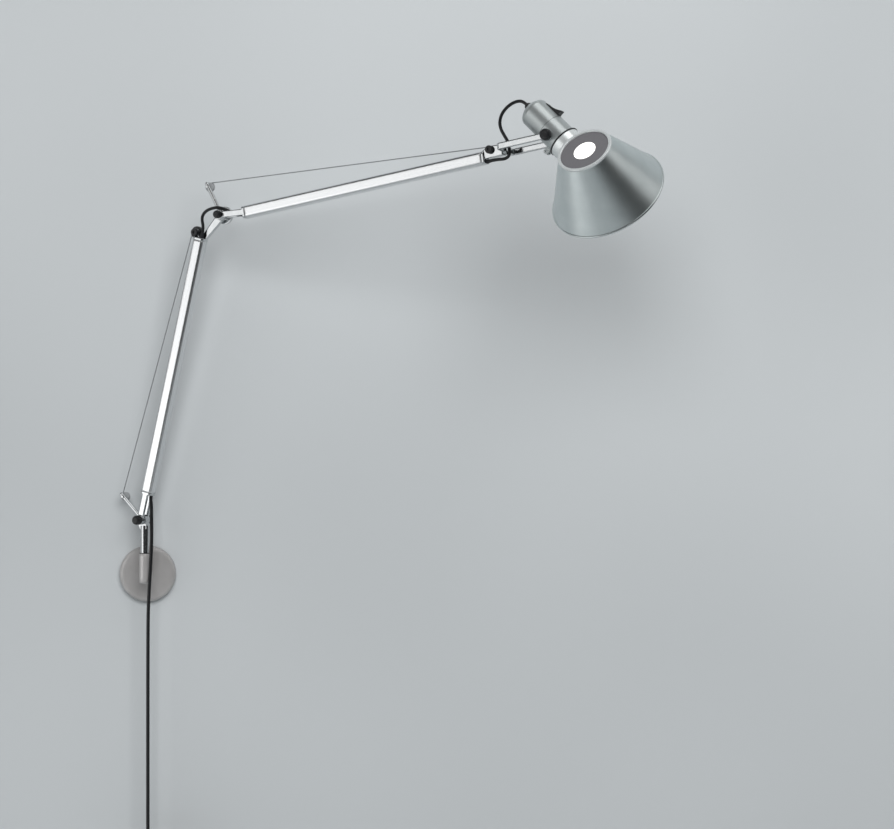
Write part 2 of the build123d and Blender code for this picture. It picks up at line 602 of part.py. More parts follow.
lower_roller_bolt = roller_bolt(lower, lower_roller_x, lower_roller_y, cheek_in + cheek_t)
lower_roller_bolt.label = "lower_roller_bolt"
export_step(lower_roller_bolt, "parts/lower_roller_bolt.step")
lower_spring = spring(lower, 0)
lower_spring.label = "lower_spring"
export_step(lower_spring, "parts/lower_spring.step")
lower_cable = tension_cable(lower, 90 + lower_post_angle - lower_tilt, lower_roller_x, lower_roller_y,
                            lower_wrap, 0)
lower_cable.label = "lower_cable"
export_step(lower_cable, "parts/lower_cable.step")

# ---- upper arm -------------------------------------------------------------------------------------------
upper_tube = arm_tube(upper, upper_drop)
upper_tube.label = "upper_tube"
export_step(upper_tube, "parts/upper_tube.step")
upper_fork = arm_fork(upper, upper_drop, pivot_bolt_d / 2, 0.4, 0)
upper_fork.label = "upper_fork"
export_step(upper_fork, "parts/upper_fork.step")
elbow_face = fork_out + 0.4 + seat
elbow_bolt = bolt(upper, 0, 0, -fork_out - seat, elbow_disc_d, elbow_disc_t, 1.6,
                  elbow_face + elbow_knob_l - 3, pivot_bolt_d)
elbow_bolt.label = "elbow_bolt"
export_step(elbow_bolt, "parts/elbow_bolt.step")
elbow_knob = round_knob(upper, 0, 0, elbow_face, elbow_knob_d, elbow_knob_l, knob_bore, 2.6)
elbow_knob.label = "elbow_knob"
export_step(elbow_knob, "parts/elbow_knob.step")

# The piece at the head end: plug, collar and a wedge with the roller's slot and the fork's bore.
wedge_low, wedge_high = upper_drop - tube_side / 2, upper_drop + tube_side / 2
twist_bore_l = twist_pin_l + 1.0
upper_slot_r = upper_wrap + roller_rim + 0.8
wedge_half = cheek_in + cheek_t + 1.4
with BuildPart() as upper_end:
    with BuildSketch(across(upper, tube_end - plug_in, upper_drop)):
        RectangleRounded(plug_side, plug_side, tube_corner - tube_wall)
    extrude(amount=plug_in)
    with BuildSketch(across(upper, tube_end, upper_drop)):
        RectangleRounded(tube_side, tube_side, tube_corner)
    extrude(amount=collar_t)
    with BuildSketch(turned(upper, 0, 0, 0, -wedge_half)):
        with BuildLine():
            Polyline((tube_end + 1, wedge_low + wire_room), (tube_end + 1, wedge_high - 0.8),
                     (upper_roller_x - 3, upper_roller_y + 6.0), (knuckle_x - 8, twist_y + 8.0),
                     (knuckle_x, twist_y + 8.0), (knuckle_x, twist_y - 8.0), close=True)
        make_face()
    extrude(amount=2 * wedge_half)
    with BuildSketch(turned(upper, 0, 0, 0, -cheek_in)):
        with Locations((upper_roller_x, upper_roller_y)):
            Circle(upper_slot_r)
            Rectangle(2 * upper_slot_r, 12, align=(Align.CENTER, Align.MIN))
        with Locations((tube_end - plug_in, upper_roller_y - upper_wrap + cable_slot / 2)):
            Rectangle(upper_roller_x - tube_end + plug_in,
                      cable_slot + (upper_roller_y - upper_wrap - upper_drop) / 2,
                      align=(Align.MIN, Align.MAX))
    extrude(amount=2 * cheek_in, mode=Mode.SUBTRACT)
    with BuildSketch(turned(upper, 0, upper_roller_x, upper_roller_y, -12)):
        Circle(roller_pin_d / 2 + thread_gap)
    extrude(amount=24, mode=Mode.SUBTRACT)
    with BuildSketch(across(upper, knuckle_x - twist_bore_l, twist_y)):
        Circle(twist_pin_d / 2 + running)
    extrude(amount=twist_bore_l, mode=Mode.SUBTRACT)
upper_end.part.label = "upper_end"
export_step(upper_end.part, "parts/upper_end.step")

upper_roller = grooved_wheel(upper, upper_roller_x, upper_roller_y, 0, roller_t, upper_wrap, roller_rim,
                             roller_pin_d / 2 + running)
upper_roller.label = "upper_roller"
export_step(upper_roller, "parts/upper_roller.step")
upper_roller_bolt = roller_bolt(upper, upper_roller_x, upper_roller_y, wedge_half)
upper_roller_bolt.label = "upper_roller_bolt"
export_step(upper_roller_bolt, "parts/upper_roller_bolt.step")
upper_spring = spring(upper, upper_drop)
upper_spring.label = "upper_spring"
export_step(upper_spring, "parts/upper_spring.step")
upper_cable = tension_cable(upper, 90 + elbow_post_angle - upper_tilt, upper_roller_x, upper_roller_y,
                            upper_wrap, upper_drop)
upper_cable.label = "upper_cable"
export_step(upper_cable, "parts/upper_cable.step")

# ================================ fork ====================================================================
fork_inner = holder_d / 2 + fork_gap
fork_outer = fork_inner + fork_t
fork_top = Plane(origin=fork.origin, x_dir=fork.x_dir, z_dir=-fork.y_dir)
with BuildPart() as yoke:
    with BuildSketch(fork_top):
        with BuildLine():
            Polyline((seat, -fork_outer), (fork_reach + tilt_eye_d / 2, -fork_outer),
                     (fork_reach + tilt_eye_d / 2, -fork_inner), (fork_base, -fork_inner),
                     (fork_base, fork_inner), (fork_reach + tilt_eye_d / 2, fork_inner),
                     (fork_reach + tilt_eye_d / 2, fork_outer), (seat, fork_outer), close=True)
        make_face()
    extrude(amount=tilt_eye_d / 2, both=True)
    fillet(yoke.edges().filter_by(Axis((0, 0, 0), fork_top.z_dir)).filter_by(
        lambda e: fork.to_local_coords(e.center()).X < 1), 5.0)
    with BuildSketch(fork.offset(-fork_outer - 1)):
        with Locations((0, 0)):
            Rectangle(fork_reach, fork_w, align=(Align.MIN, Align.CENTER))
        with Locations((fork_reach, 0)):
            Circle(tilt_eye_d / 2)
    extrude(amount=2 * fork_outer + 2, mode=Mode.INTERSECT)
    with BuildSketch(across(fork, -twist_pin_l)):
        Circle(twist_pin_d / 2)
    extrude(amount=twist_pin_l + fork_base / 2)
    with BuildSketch(across(fork, seat)):
        Circle(twist_pin_d)
    extrude(amount=fork_base - seat)
    with BuildSketch(turned(fork, 0, fork_reach, 0, -fork_outer - 1)):
        Circle(tilt_bolt_d / 2 + running)
    extrude(amount=2 * fork_outer + 2, mode=Mode.SUBTRACT)
yoke.part.label = "yoke"
export_step(yoke.part, "parts/yoke.step")

# ================================ lamp holder =============================================================
holder_r = holder_d / 2
holder_axis = axis_of(head)
holder_in = holder_r - holder_wall
end_inner = holder_end_r - holder_wall
with BuildPart() as rear_shell:
    with BuildSketch(head):
        with BuildLine():
            dome = ThreePointArc((holder_rear, relief_d / 2), (holder_rear + 1.6, holder_end_r * 0.62),
                                 (holder_rear + holder_dome, holder_end_r))
            round_edge = ThreePointArc(dome @ 1, (holder_rear + holder_dome * 1.5, holder_r - 1.3),
                                       (holder_rear + holder_dome * 2.4, holder_r))
            Polyline(round_edge @ 1, (holder_joint, holder_r), (holder_joint, holder_in),
                     (holder_rear + holder_dome * 2.4, holder_in))
            inner = ThreePointArc((holder_rear + holder_dome * 2.4, holder_in),
                                  (holder_rear + holder_dome * 1.5 + 1.2, holder_in - 1.4),
                                  (holder_rear + holder_dome + 1.8, end_inner))
            back = ThreePointArc(inner @ 1, (holder_rear + 3.6, end_inner * 0.62),
                                 (holder_rear + holder_wall, relief_d / 2))
            Line(back @ 1, dome @ 0)
        make_face()
    revolve(axis=holder_axis)
    with BuildSketch(Plane(origin=head.from_local_coords((rocker_x, 0, 0)), x_dir=head.x_dir,
                           z_dir=head.y_dir)):
        Rectangle(rocker_l + 2 * rocker_gap, rocker_w + 0.8)
    extrude(amount=holder_r + 2, mode=Mode.SUBTRACT)
rear_shell.part.label = "rear_shell"
export_step(rear_shell.part, "parts/rear_shell.step")

collar_end = -ring_t / 2 - seat
with BuildPart() as collar:
    with BuildSketch(across(head, holder_joint)):
        Circle(holder_r)
    extrude(amount=collar_end - holder_joint)
    for z, way in ((fork_inner - fork_gap / 2, -1), (-fork_inner + fork_gap / 2, 1)):
        with BuildSketch(turned(head, 0, tilt_x, tilt_y, z)):
            Circle(tilt_boss_d / 2)
        extrude(amount=way * 6)
    for z in (lug_gap / 2, -lug_gap / 2 - lug_t):
        with BuildSketch(turned(head, 0, lug_x, -holder_r - lug_out, z)):
            Circle(lug_d / 2)
            Rectangle(lug_d, lug_out + 3, align=(Align.CENTER, Align.MIN))
        extrude(amount=lug_t)
    with BuildSketch(turned(head, 0, lug_x, -holder_r - lug_out, -lug_gap)):
        Circle(1.6)
    extrude(amount=2 * lug_gap, mode=Mode.SUBTRACT)
    with BuildSketch(across(head, holder_joint - 1)):
        Circle(holder_in)
    extrude(amount=collar_end - holder_joint - 1, mode=Mode.SUBTRACT)
    with BuildSketch(across(head, collar_end - 3)):
        Circle(socket_d / 2 + slip)
    extrude(amount=6, mode=Mode.SUBTRACT)
    with BuildSketch(turned(head, 0, tilt_x, tilt_y, -holder_d)):
        Circle(tilt_bolt_d / 2 + thread_gap)
    extrude(amount=2 * holder_d, mode=Mode.SUBTRACT)
collar.part.label = "collar"
export_step(collar.part, "parts/collar.step")

with BuildPart() as tilt_bolts:
    for way in (1, -1):
        with BuildSketch(turned(head, 0, tilt_x, tilt_y, way * (holder_in - 4.0))):
            Circle(tilt_bolt_d / 2)
        extrude(amount=way * (fork_outer + tilt_knob_l - 3 - holder_in + 4.0))
    with BuildPart(mode=Mode.PRIVATE) as far_head:
        with BuildSketch(turned(head, 0, tilt_x, tilt_y, -fork_outer - seat - tilt_knob_l)):
            Circle(tilt_knob_d / 2)
        extrude(amount=tilt_knob_l)
        fillet(far_head.faces().sort_by(Axis(head.origin, head.z_dir))[0].edges(), 3.4)
    add(far_head.part)
tilt_bolts.part.label = "tilt_bolts"
export_step(tilt_bolts.part, "parts/tilt_bolts.step")
tilt_knob = round_knob(head, tilt_x, tilt_y, fork_outer + seat, tilt_knob_d, tilt_knob_l,
                       tilt_bolt_d / 2 + running, 3.4)
tilt_knob.label = "tilt_knob"
export_step(tilt_knob, "parts/tilt_knob.step")

with BuildPart() as holder_ring:
    with BuildSketch(across(head, -ring_t / 2)):
        Circle(ring_d / 2)
        Circle(socket_d / 2 + slip, mode=Mode.SUBTRACT)
    extrude(amount=ring_t)
    fillet(holder_ring.edges().group_by(SortBy.LENGTH)[-1], ring_t / 3)
holder_ring.part.label = "holder_ring"
export_step(holder_ring.part, "parts/holder_ring.step")

with BuildPart() as lamp_socket:
    with BuildSketch(across(head, socket_low)):
        Circle(socket_d / 2)
        Circle(bulb_base_d / 2 + slip, mode=Mode.SUBTRACT)
    extrude(amount=socket_high - socket_low)
    with BuildSketch(across(head, socket_low)):
        Circle(socket_d / 2)
    extrude(amount=2.0)
    with BuildSketch(across(head, collar_end - 3 - socket_flange_t - seat)):
        Circle(holder_in - slip)
        Circle(socket_d / 2 - 1, mode=Mode.SUBTRACT)
    extrude(amount=socket_flange_t)
lamp_socket.part.label = "lamp_socket"
export_step(lamp_socket.part, "parts/lamp_socket.step")

base_end = socket_high + 3
with BuildPart() as bulb:
    with BuildSketch(head):
        with BuildLine():
            low = socket_low + 2 + side_gap
            Polyline((low, 0), (low, bulb_base_d / 2 - 3), (low + 3, bulb_base_d / 2),
                     (base_end, bulb_base_d / 2))
            globe = CenterArc((bulb_centre_x, 0), bulb_d / 2, 135, -135)
            ThreePointArc((base_end, bulb_base_d / 2), (bulb_centre_x - bulb_d * 0.66, bulb_d * 0.22),
                          globe @ 0)
            Line((bulb_centre_x + bulb_d / 2, 0), (low, 0))
        make_face()
    revolve(axis=holder_axis)
bulb.part.label = "bulb"
export_step(bulb.part, "parts/bulb.step")

with BuildPart() as strain_relief:
    with BuildSketch(head):
        with BuildLine():
            lip = holder_rear + holder_wall + 0.7
            Polyline((lip + 1.4, wire_d / 2 - 0.6), (lip + 1.4, relief_d / 2 + 1.2),
                     (lip, relief_d / 2 + 1.2), (lip, relief_d / 2 - seat),
                     (holder_rear, relief_d / 2 - seat), (holder_rear - seat, relief_d / 2 + 1.6),
                     (holder_rear - 3, relief_d / 2 + 1.2), (holder_rear - relief_l, relief_tip),
                     (holder_rear - relief_l, wire_d / 2 - 0.6), close=True)
        make_face()
    revolve(axis=holder_axis)
strain_relief.part.label = "strain_relief"
export_step(strain_relief.part, "parts/strain_relief.step")

rocker_half = rocker_l / 2
with BuildPart() as switch_rocker:
    with BuildSketch(turned(head, 0, 0, 0, -rocker_w / 2)):
        with BuildLine():
            Polyline((rocker_x - rocker_half, holder_r + 0.3), (rocker_x - rocker_half, rocker_pin_y - 0.4),
                     (rocker_x, rocker_pin_y - 1.8), (rocker_x + rocker_half, rocker_pin_y - 0.4),
                     (rocker_x + rocker_half, holder_r + rocker_rise))
            ThreePointArc((rocker_x + rocker_half, holder_r + rocker_rise), (rocker_x, holder_r + 1.4),
                          (rocker_x - rocker_half, holder_r + 0.3))
        make_face()
    extrude(amount=rocker_w)
    with BuildSketch(turned(head, 0, rocker_x, rocker_pin_y, -rocker_w / 2 - 2)):
        Circle(rocker_pin_d / 2)
    extrude(amount=rocker_w + 4)
switch_rocker.part.label = "switch_rocker"
export_step(switch_rocker.part, "parts/switch_rocker.step")

ear_in = rocker_w / 2 + side_gap
with BuildPart() as switch_base:
    with BuildSketch(turned(head, 0, rocker_x, rocker_pin_y, -ear_in - 2.2)):
        with Locations((0, -3.4)):
            Rectangle(rocker_l + 3, 5.0, align=(Align.CENTER, Align.MAX))
    extrude(amount=2 * ear_in + 4.4)
    for z in (ear_in, -ear_in - 2.2):
        with BuildSketch(turned(head, 0, rocker_x, rocker_pin_y, z)):
            Rectangle(8, 4.4, align=(Align.CENTER, Align.MAX))
            Circle(2.2)
            Circle(rocker_pin_d / 2 + running, mode=Mode.SUBTRACT)
        extrude(amount=2.2)
switch_base.part.label = "switch_base"
export_step(switch_base.part, "parts/switch_base.step")

# ================================ shade ===================================================================
cone_half = atan2(shade_rim_r - shade_cap_r, shade_h)
shade_dip = pi / 2 - cone_half                  # the neck stands square on the shade's wall
opens = head.y_dir * cos(radians(shade_turn)) + head.z_dir * sin(radians(shade_turn))
shade_dir = head.x_dir * cos(shade_dip) + opens * sin(shade_dip)
toward_holder = -head.x_dir * sin(shade_dip) + opens * cos(shade_dip)
cap_centre = head.from_local_coords((shade_centre_at, 0, 0)) - shade_dir * shade_entry
shade_side = Plane(origin=cap_centre, x_dir=toward_holder, z_dir=toward_holder.cross(shade_dir))
shade_axis = Axis(cap_centre, shade_dir)


def shade_station(depth):
    """The plane square to the shade's axis at a depth below the cap, with x toward the holder."""
    return Plane(origin=cap_centre + shade_dir * depth, x_dir=toward_holder, z_dir=shade_dir)


def cone(grow, low, high):
    """A solid of the shade's outer cone, grown along the wall's normal, from one depth to another."""
    slope = tan(cone_half)
    more = grow / cos(cone_half)
    with BuildPart() as solid:
        with BuildSketch(shade_side):
            with BuildLine():
                Polyline((0, low), (shade_cap_r + more + slope * low, low),
                         (shade_cap_r + more + slope * high, high), (0, high), close=True)
            make_face()
        revolve(axis=shade_axis)
    return solid.part


flange_zone = cone(neck_flange_t, 0.5, shade_h)
cone_outside = cone(seat / 2, -30, shade_h + 40)
inner_cone = cone(-shade_wall - seat / 2, 3, shade_h + beyond_rim)
cone_t = shade_wall / cos(cone_half)
with BuildPart() as shade:
    with BuildSketch(shade_side):
        with BuildLine():
            Polyline((shade_cap_r - cone_t, 0), (shade_cap_r, 0), (shade_rim_r, shade_h),
                     (shade_rim_r - cone_t, shade_h), close=True)
        make_face()
        with Locations((shade_rim_r - shade_wall / 2, shade_h)):
            Circle(bead_d / 2)
    revolve(axis=shade_axis)
    with BuildSketch(across(head, 0)):
        Circle(neck_tube_d / 2 - neck_tube_wall)
    extrude(amount=shade_centre_at / 2, mode=Mode.SUBTRACT)
shade.part.label = "shade"
export_step(shade.part, "parts/shade.step")

with BuildPart() as shade_neck:
    with BuildSketch(across(head, ring_t / 2 + seat)):
        Circle(neck_flange_d / 2)
    extrude(amount=shade_centre_at / 2)
    add(flange_zone, mode=Mode.INTERSECT)
    with BuildSketch(across(head, ring_t / 2 + seat)):
        Circle(neck_tube_d / 2)
    extrude(amount=shade_centre_at / 2)
    add(cone_outside, mode=Mode.SUBTRACT)
    with BuildSketch(across(head, 0)):
        Circle(neck_tube_d / 2 - neck_tube_wall)
    extrude(amount=shade_centre_at, mode=Mode.SUBTRACT)
shade_neck.part.label = "shade_neck"
export_step(shade_neck.part, "parts/shade_neck.step")

with BuildPart() as cap_ring:
    with BuildSketch(shade_station(-seat)):
        Circle(shade_cap_r)
        Circle(shade_cap_r - cap_ring_w, mode=Mode.SUBTRACT)
    extrude(amount=-cap_ring_h)
    fillet(cap_ring.edges().group_by(Axis(cap_centre, -shade_dir))[-1], 0.9)
cap_ring.part.label = "cap_ring"
export_step(cap_ring.part, "parts/cap_ring.step")

with BuildPart() as cap_disc:
    with BuildSketch(shade_station(-seat - cap_ring_h + cap_recess)):
        Circle(shade_cap_r - cap_ring_w - seat)
        Circle(lens_d / 2 + seat, mode=Mode.SUBTRACT)
    extrude(amount=cap_disc_t)
    with BuildSketch(shade_station(0)):
        Circle(shade_cap_r - cone_t - seat)
        Circle(lens_d / 2 + seat, mode=Mode.SUBTRACT)
    extrude(amount=cap_disc_t - cap_ring_h + cap_recess)
cap_disc.part.label = "cap_disc"
export_step(cap_disc.part, "parts/cap_disc.step")

with BuildPart() as cap_lens:
    with BuildSketch(shade_station(-seat - cap_ring_h + cap_recess)):
        Circle(lens_d / 2)
    extrude(amount=cap_disc_t + seat)
    with BuildSketch(shade_station(cap_disc_t - cap_ring_h + cap_recess)):
        Circle(lens_d / 2 + 2)
    extrude(amount=1.2)
cap_lens.part.label = "cap_lens"
export_step(cap_lens.part, "parts/cap_lens.step")

handle_end = shade_h + handle_past_rim
with BuildPart() as handle:
    with BuildSketch(shade_station(handle_root)):
        with Locations((handle_r, 0)):
            Circle(handle_d / 2)
    with BuildSketch(shade_station(handle_end - 1)):
        with Locations((handle_r, 0)):
            Circle(handle_tip_d / 2)
    loft()
    fillet(handle.edges().group_by(Axis(cap_centre, shade_dir))[-1], handle_tip_d / 2 - 0.4)
    add(inner_cone, mode=Mode.INTERSECT)
handle.part.label = "handle"
export_step(handle.part, "parts/handle.step")

# ================================ boots, wires and cord ===================================================
def boot(at, length, root_d):
    """A soft sleeve that narrows from its root plane to its tip."""
    with BuildPart() as sleeve_piece:
        with BuildSketch(at):
            Circle(root_d / 2)
        with BuildSketch(at.offset(length)):
            Circle(boot_tip_d / 2)
        loft()
    return sleeve_piece.part


lower_boot = boot(across(lower, tube_end + collar_t, elbow_boot_y, elbow_boot_z), boot_l, boot_d)
lower_boot.label = "lower_boot"
export_step(lower_boot, "parts/lower_boot.step")

with BuildPart() as upper_boots:
    add(boot(Plane(origin=upper.from_local_coords((tube_start - collar_t, upper_drop + fork_boot_y, 0)),
                   x_dir=upper.y_dir, z_dir=-upper.x_dir), boot_l, boot_d))
    add(boot(across(upper, tube_end + collar_t, upper_drop + head_boot_y), head_boot_l, head_boot_d))
upper_boots.part.label = "upper_boots"
export_step(upper_boots.part, "parts/upper_boots.step")

# Each wire leaves its boots straight, so the ends of its route lie on the boots' axes.
lower_tip = lower.from_local_coords((tube_end + collar_t + boot_l + thread_gap, elbow_boot_y, elbow_boot_z))
elbow_tip = upper.from_local_coords((tube_start - collar_t - boot_l - thread_gap,
                                     upper_drop + fork_boot_y, 0))
upper_tip = upper.from_local_coords((tube_end + collar_t + head_boot_l + thread_gap,
                                     upper_drop + head_boot_y, 0))
elbow_wire_route = ([tuple(lower_tip), tuple(lower_tip + lower.x_dir * 8.9)] + elbow_wire_route
                    + [tuple(elbow_tip - upper.x_dir * 5), tuple(elbow_tip)])
cord_exit = lower.from_local_coords((tube_start - collar_t - thread_gap, cord_hole_y, cord_hole_z))
cord_top_route = [tuple(cord_exit), tuple(cord_exit - lower.x_dir * 6)] + cord_top_route
fork_wire_route = [tuple(upper_tip), tuple(upper_tip + upper.x_dir * 11)] + fork_wire_route


def bend_radii(route):
    """The radius at each inner point of a route, as large as its two runs allow."""
    points = [Vector(*p) for p in route]
    radii = []
    for before, here, after in zip(points, points[1:], points[2:]):
        turn = (here - before).get_angle(after - here)
        radii.append(0.45 * min((here - before).length, (after - here).length) / tan(radians(turn) / 2))
    return radii


for name, route, d in (("power_cord_top", cord_top_route, cord_d), ("power_cord", cord_route, cord_d),
                       ("elbow_wire", elbow_wire_route, wire_d), ("fork_wire", fork_wire_route, wire_d),
                       ("head_wire", head_wire_route, wire_d)):
    radii = bend_radii(route)
    with BuildPart() as tube:
        with BuildLine() as path:
            FilletPolyline(*route, radius=radii)
        wire = path.wire()
        with BuildSketch(Plane(origin=wire @ 0, z_dir=wire % 0)):
            Circle(d / 2)
        sweep(path=wire)
    length = wire.length
    print(name, "length", round(length, 1), "radii", [round(r) for r in radii],
          "volume / (section x length)", round(tube.part.volume / (pi * d * d / 4 * length), 4))
    tube.part.label = name
    export_step(tube.part, f"parts/{name}.step")

# The put away length: four layers of loops, in, out, in and out, each climbing half turn at a reversal.
coil_plane = Plane(origin=(coil_start[0] + coil_r, coil_start[1], coil_start[2]), x_dir=(1, 0, 0),
                   z_dir=(0, -1, 0))
left, right, step = -coil_r, coil_r, coil_pitch
inward = [(left, right), (right, left + step), (left + step, right - step)]
outward = [(left + 2 * step, right), (right, left + step), (left + step, right + step)]


def loop_arc(start, end, level):
    """Half a turn in one layer: below the axis when it runs to the right, above when it runs back."""
    mid, reach = (start + end) / 2, (end - start) / 2
    ThreePointArc((start, 0, level), (mid, -reach, level), (end, 0, level))


def bowed(start, end, tangent):
    """The arc from start to end that leaves start along the tangent."""
    chord = (end - start).normalized()
    aside = (tangent - chord * tangent.dot(chord)).normalized()
    bow = (end - start).length / 2 * tan(radians(tangent.get_angle(chord)) / 2)
    ThreePointArc(tuple(start), tuple((start + end) / 2 + aside * bow), tuple(end))
    return chord * (2 * tangent.dot(chord)) - tangent


def loop_climb(start, end, level):
    """The half turn over the top that climbs one layer, as two quarter turns that meet at its top."""
    reach = (start - end) / 2
    top = Vector((start + end) / 2, sqrt(reach ** 2 + coil_layer ** 2 / 4), level + coil_layer / 2)
    heading = bowed(Vector(start, 0, level), top, Vector(0, 1, 0))
    bowed(top, Vector(end, 0, level + coil_layer), heading)


with BuildPart() as cord_coil:
    with BuildLine(coil_plane) as coil_path:
        Line((left, cord_route[-1][2] - coil_start[2], 0), (left, 0, 0))
        for start, end in inward:
            loop_arc(start, end, 0)
        loop_climb(right - step, left + 2 * step, 0)
        for start, end in outward:
            loop_arc(start, end, coil_layer)
        loop_climb(right + step, left, coil_layer)
        for start, end in inward:
            loop_arc(start, end, 2 * coil_layer)
        loop_climb(right - step, left + 2 * step, 2 * coil_layer)
        for start, end in outward[:2]:
            loop_arc(start, end, 3 * coil_layer)
        CenterArc((left + step + coil_r, 0, 3 * coil_layer), coil_r, 180, 90)
        Line((left + step + coil_r, -coil_r, 3 * coil_layer),
             (left + step + coil_r + coil_tail, -coil_r, 3 * coil_layer))
    coil = coil_path.wire()
    with BuildSketch(Plane(origin=cord_route[-1], z_dir=(0, 0, -1))):
        Circle(cord_d / 2)
    sweep(path=coil)
cord_coil.part.label = "cord_coil"
export_step(cord_coil.part, "parts/cord_coil.step")

coil_length = coil.length
count = int(coil_length / 2.5)
spots = [coil @ (i / count) for i in range(count + 1)]
apart = int(3 * cord_d / (coil_length / count))
least = min((spots[i] - spots[j]).length for i in range(len(spots)) for j in range(i + apart, len(spots)))
for name, route in (("power_cord_top", cord_top_route), ("elbow_wire", elbow_wire_route),
                    ("fork_wire", fork_wire_route)):
    print(name, [tuple(round(value, 2) for value in point) for point in route])
print("cord_coil length", round(coil_length), "loops", 7.25, "least gap", round(least - cord_d, 2),
      "volume / (section x length)", round(cord_coil.part.volume / (pi * cord_d ** 2 / 4 * coil_length), 4))

bundle_w, bundle_h = 2 * step + cord_d + 2 * tie_gap, 3 * coil_layer + cord_d + 2 * tie_gap
with BuildPart() as cord_tie:
    with BuildSketch(Plane(origin=coil_plane.from_local_coords((left + step, -tie_h / 2, 1.5 * coil_layer)),
                           x_dir=(1, 0, 0), z_dir=(0, 0, 1))):
        RectangleRounded(bundle_w + 2 * tie_t, bundle_h + 2 * tie_t, 3.0)
        RectangleRounded(bundle_w, bundle_h, 3.0 - tie_t, mode=Mode.SUBTRACT)
    extrude(amount=tie_h)
cord_tie.part.label = "cord_tie"
export_step(cord_tie.part, "parts/cord_tie.step")

plug_at = (left + step + coil_r + coil_tail, -coil_r, 3 * coil_layer)
plug_plane = Plane(origin=coil_plane.from_local_coords(plug_at), x_dir=(0, 1, 0), z_dir=(1, 0, 0))
with BuildPart() as plug:
    with BuildSketch(plug_plane):
        Circle(plug_neck / 2 - 1)
    with BuildSketch(plug_plane.offset(plug_sleeve_l)):
        Circle(plug_neck / 2)
    loft()
    with BuildSketch(plug_plane.offset(plug_sleeve_l - 0.5)):
        RectangleRounded(plug_w * 0.5, plug_h * 0.9, 4.0)
    with BuildSketch(plug_plane.offset(plug_sleeve_l + plug_l)):
        RectangleRounded(plug_w, plug_h, 5.5)
    loft()
plug.part.label = "plug"
export_step(plug.part, "parts/plug.step")

with BuildPart() as plug_pins:
    with BuildSketch(plug_plane.offset(plug_sleeve_l + plug_l)):
        with Locations((-plug_pin_span / 2, 0), (plug_pin_span / 2, 0)):
            Circle(plug_pin_d / 2)
    extrude(amount=plug_pin_l)
    fillet(plug_pins.faces().sort_by(Axis.X)[-2:].edges(), plug_pin_d / 2 - 0.5)
plug_pins.part.label = "plug_pins"
export_step(plug_pins.part, "parts/plug_pins.step")
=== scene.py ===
# %% [markdown]
# # An articulating wall lamp
# This lesson dresses a finished CAD assembly in Blender. The lamp has a round plate on the wall, a stem that swivels
# in it, two square aluminium arms balanced by hidden springs, and a head that tilts. Every solid already sits where
# it belongs, so Blender adds finishes, the soft cord and wires, copies of the cables, and small turned details.

from math import cos, pi, radians, sin

import bmesh
import bpy
from mathutils import Matrix, Vector


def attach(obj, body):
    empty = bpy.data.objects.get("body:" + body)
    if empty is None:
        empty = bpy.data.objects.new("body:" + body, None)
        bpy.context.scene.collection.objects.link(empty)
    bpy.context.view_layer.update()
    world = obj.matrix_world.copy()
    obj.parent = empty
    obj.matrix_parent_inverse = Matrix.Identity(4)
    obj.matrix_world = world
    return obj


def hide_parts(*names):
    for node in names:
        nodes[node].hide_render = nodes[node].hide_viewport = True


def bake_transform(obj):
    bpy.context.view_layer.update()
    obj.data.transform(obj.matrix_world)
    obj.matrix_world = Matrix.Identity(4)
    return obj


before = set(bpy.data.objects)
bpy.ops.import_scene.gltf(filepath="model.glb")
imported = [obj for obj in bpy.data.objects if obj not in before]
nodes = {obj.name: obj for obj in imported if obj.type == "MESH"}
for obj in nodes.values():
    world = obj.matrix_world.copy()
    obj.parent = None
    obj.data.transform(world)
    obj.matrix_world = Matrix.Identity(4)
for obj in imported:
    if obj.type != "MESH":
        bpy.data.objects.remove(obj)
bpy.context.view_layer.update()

# %% [markdown]
# ## The camera first
# The photograph was taken square to the wall with a long lens, so a camera straight in front of the wall, with its
# axis level, gives the same view. The lens follows from one measure: a pixel is 1.58 mm at the wall.

# %% The photograph's camera
PIXELS_WIDE, METRES_PER_PIXEL, CAMERA_BACK = 894, 0.00158, 3.5
camera_data = bpy.data.cameras.new("photo_camera")
camera_data.sensor_width = 36.0
camera_data.lens = 36.0 * CAMERA_BACK / (PIXELS_WIDE * METRES_PER_PIXEL)
camera_data.clip_end = 50.0
camera = bpy.data.objects.new("photo_camera", camera_data)
camera.location = (0.4719, -CAMERA_BACK, 0.2509)
camera.rotation_euler = (radians(90), 0, 0)
bpy.context.scene.collection.objects.link(camera)
bpy.context.scene.camera = camera
bpy.context.scene.view_settings.view_transform = "Standard"
print("lens", round(camera_data.lens, 1), "mm")

# %% [markdown]
# ## The power cord
# A lamp's flex is a fixed length of something soft. It leaves the lower arm at its grommet, bends once to the stem's
# side and hangs plumb under its own weight. What the photograph doesn't show is wound in a neat coil and tied. One
# smooth NURBS spline carries the whole length: its control points are the ones the CAD route has, and the coil adds
# its turns to the same spline, twelve points to the turn.

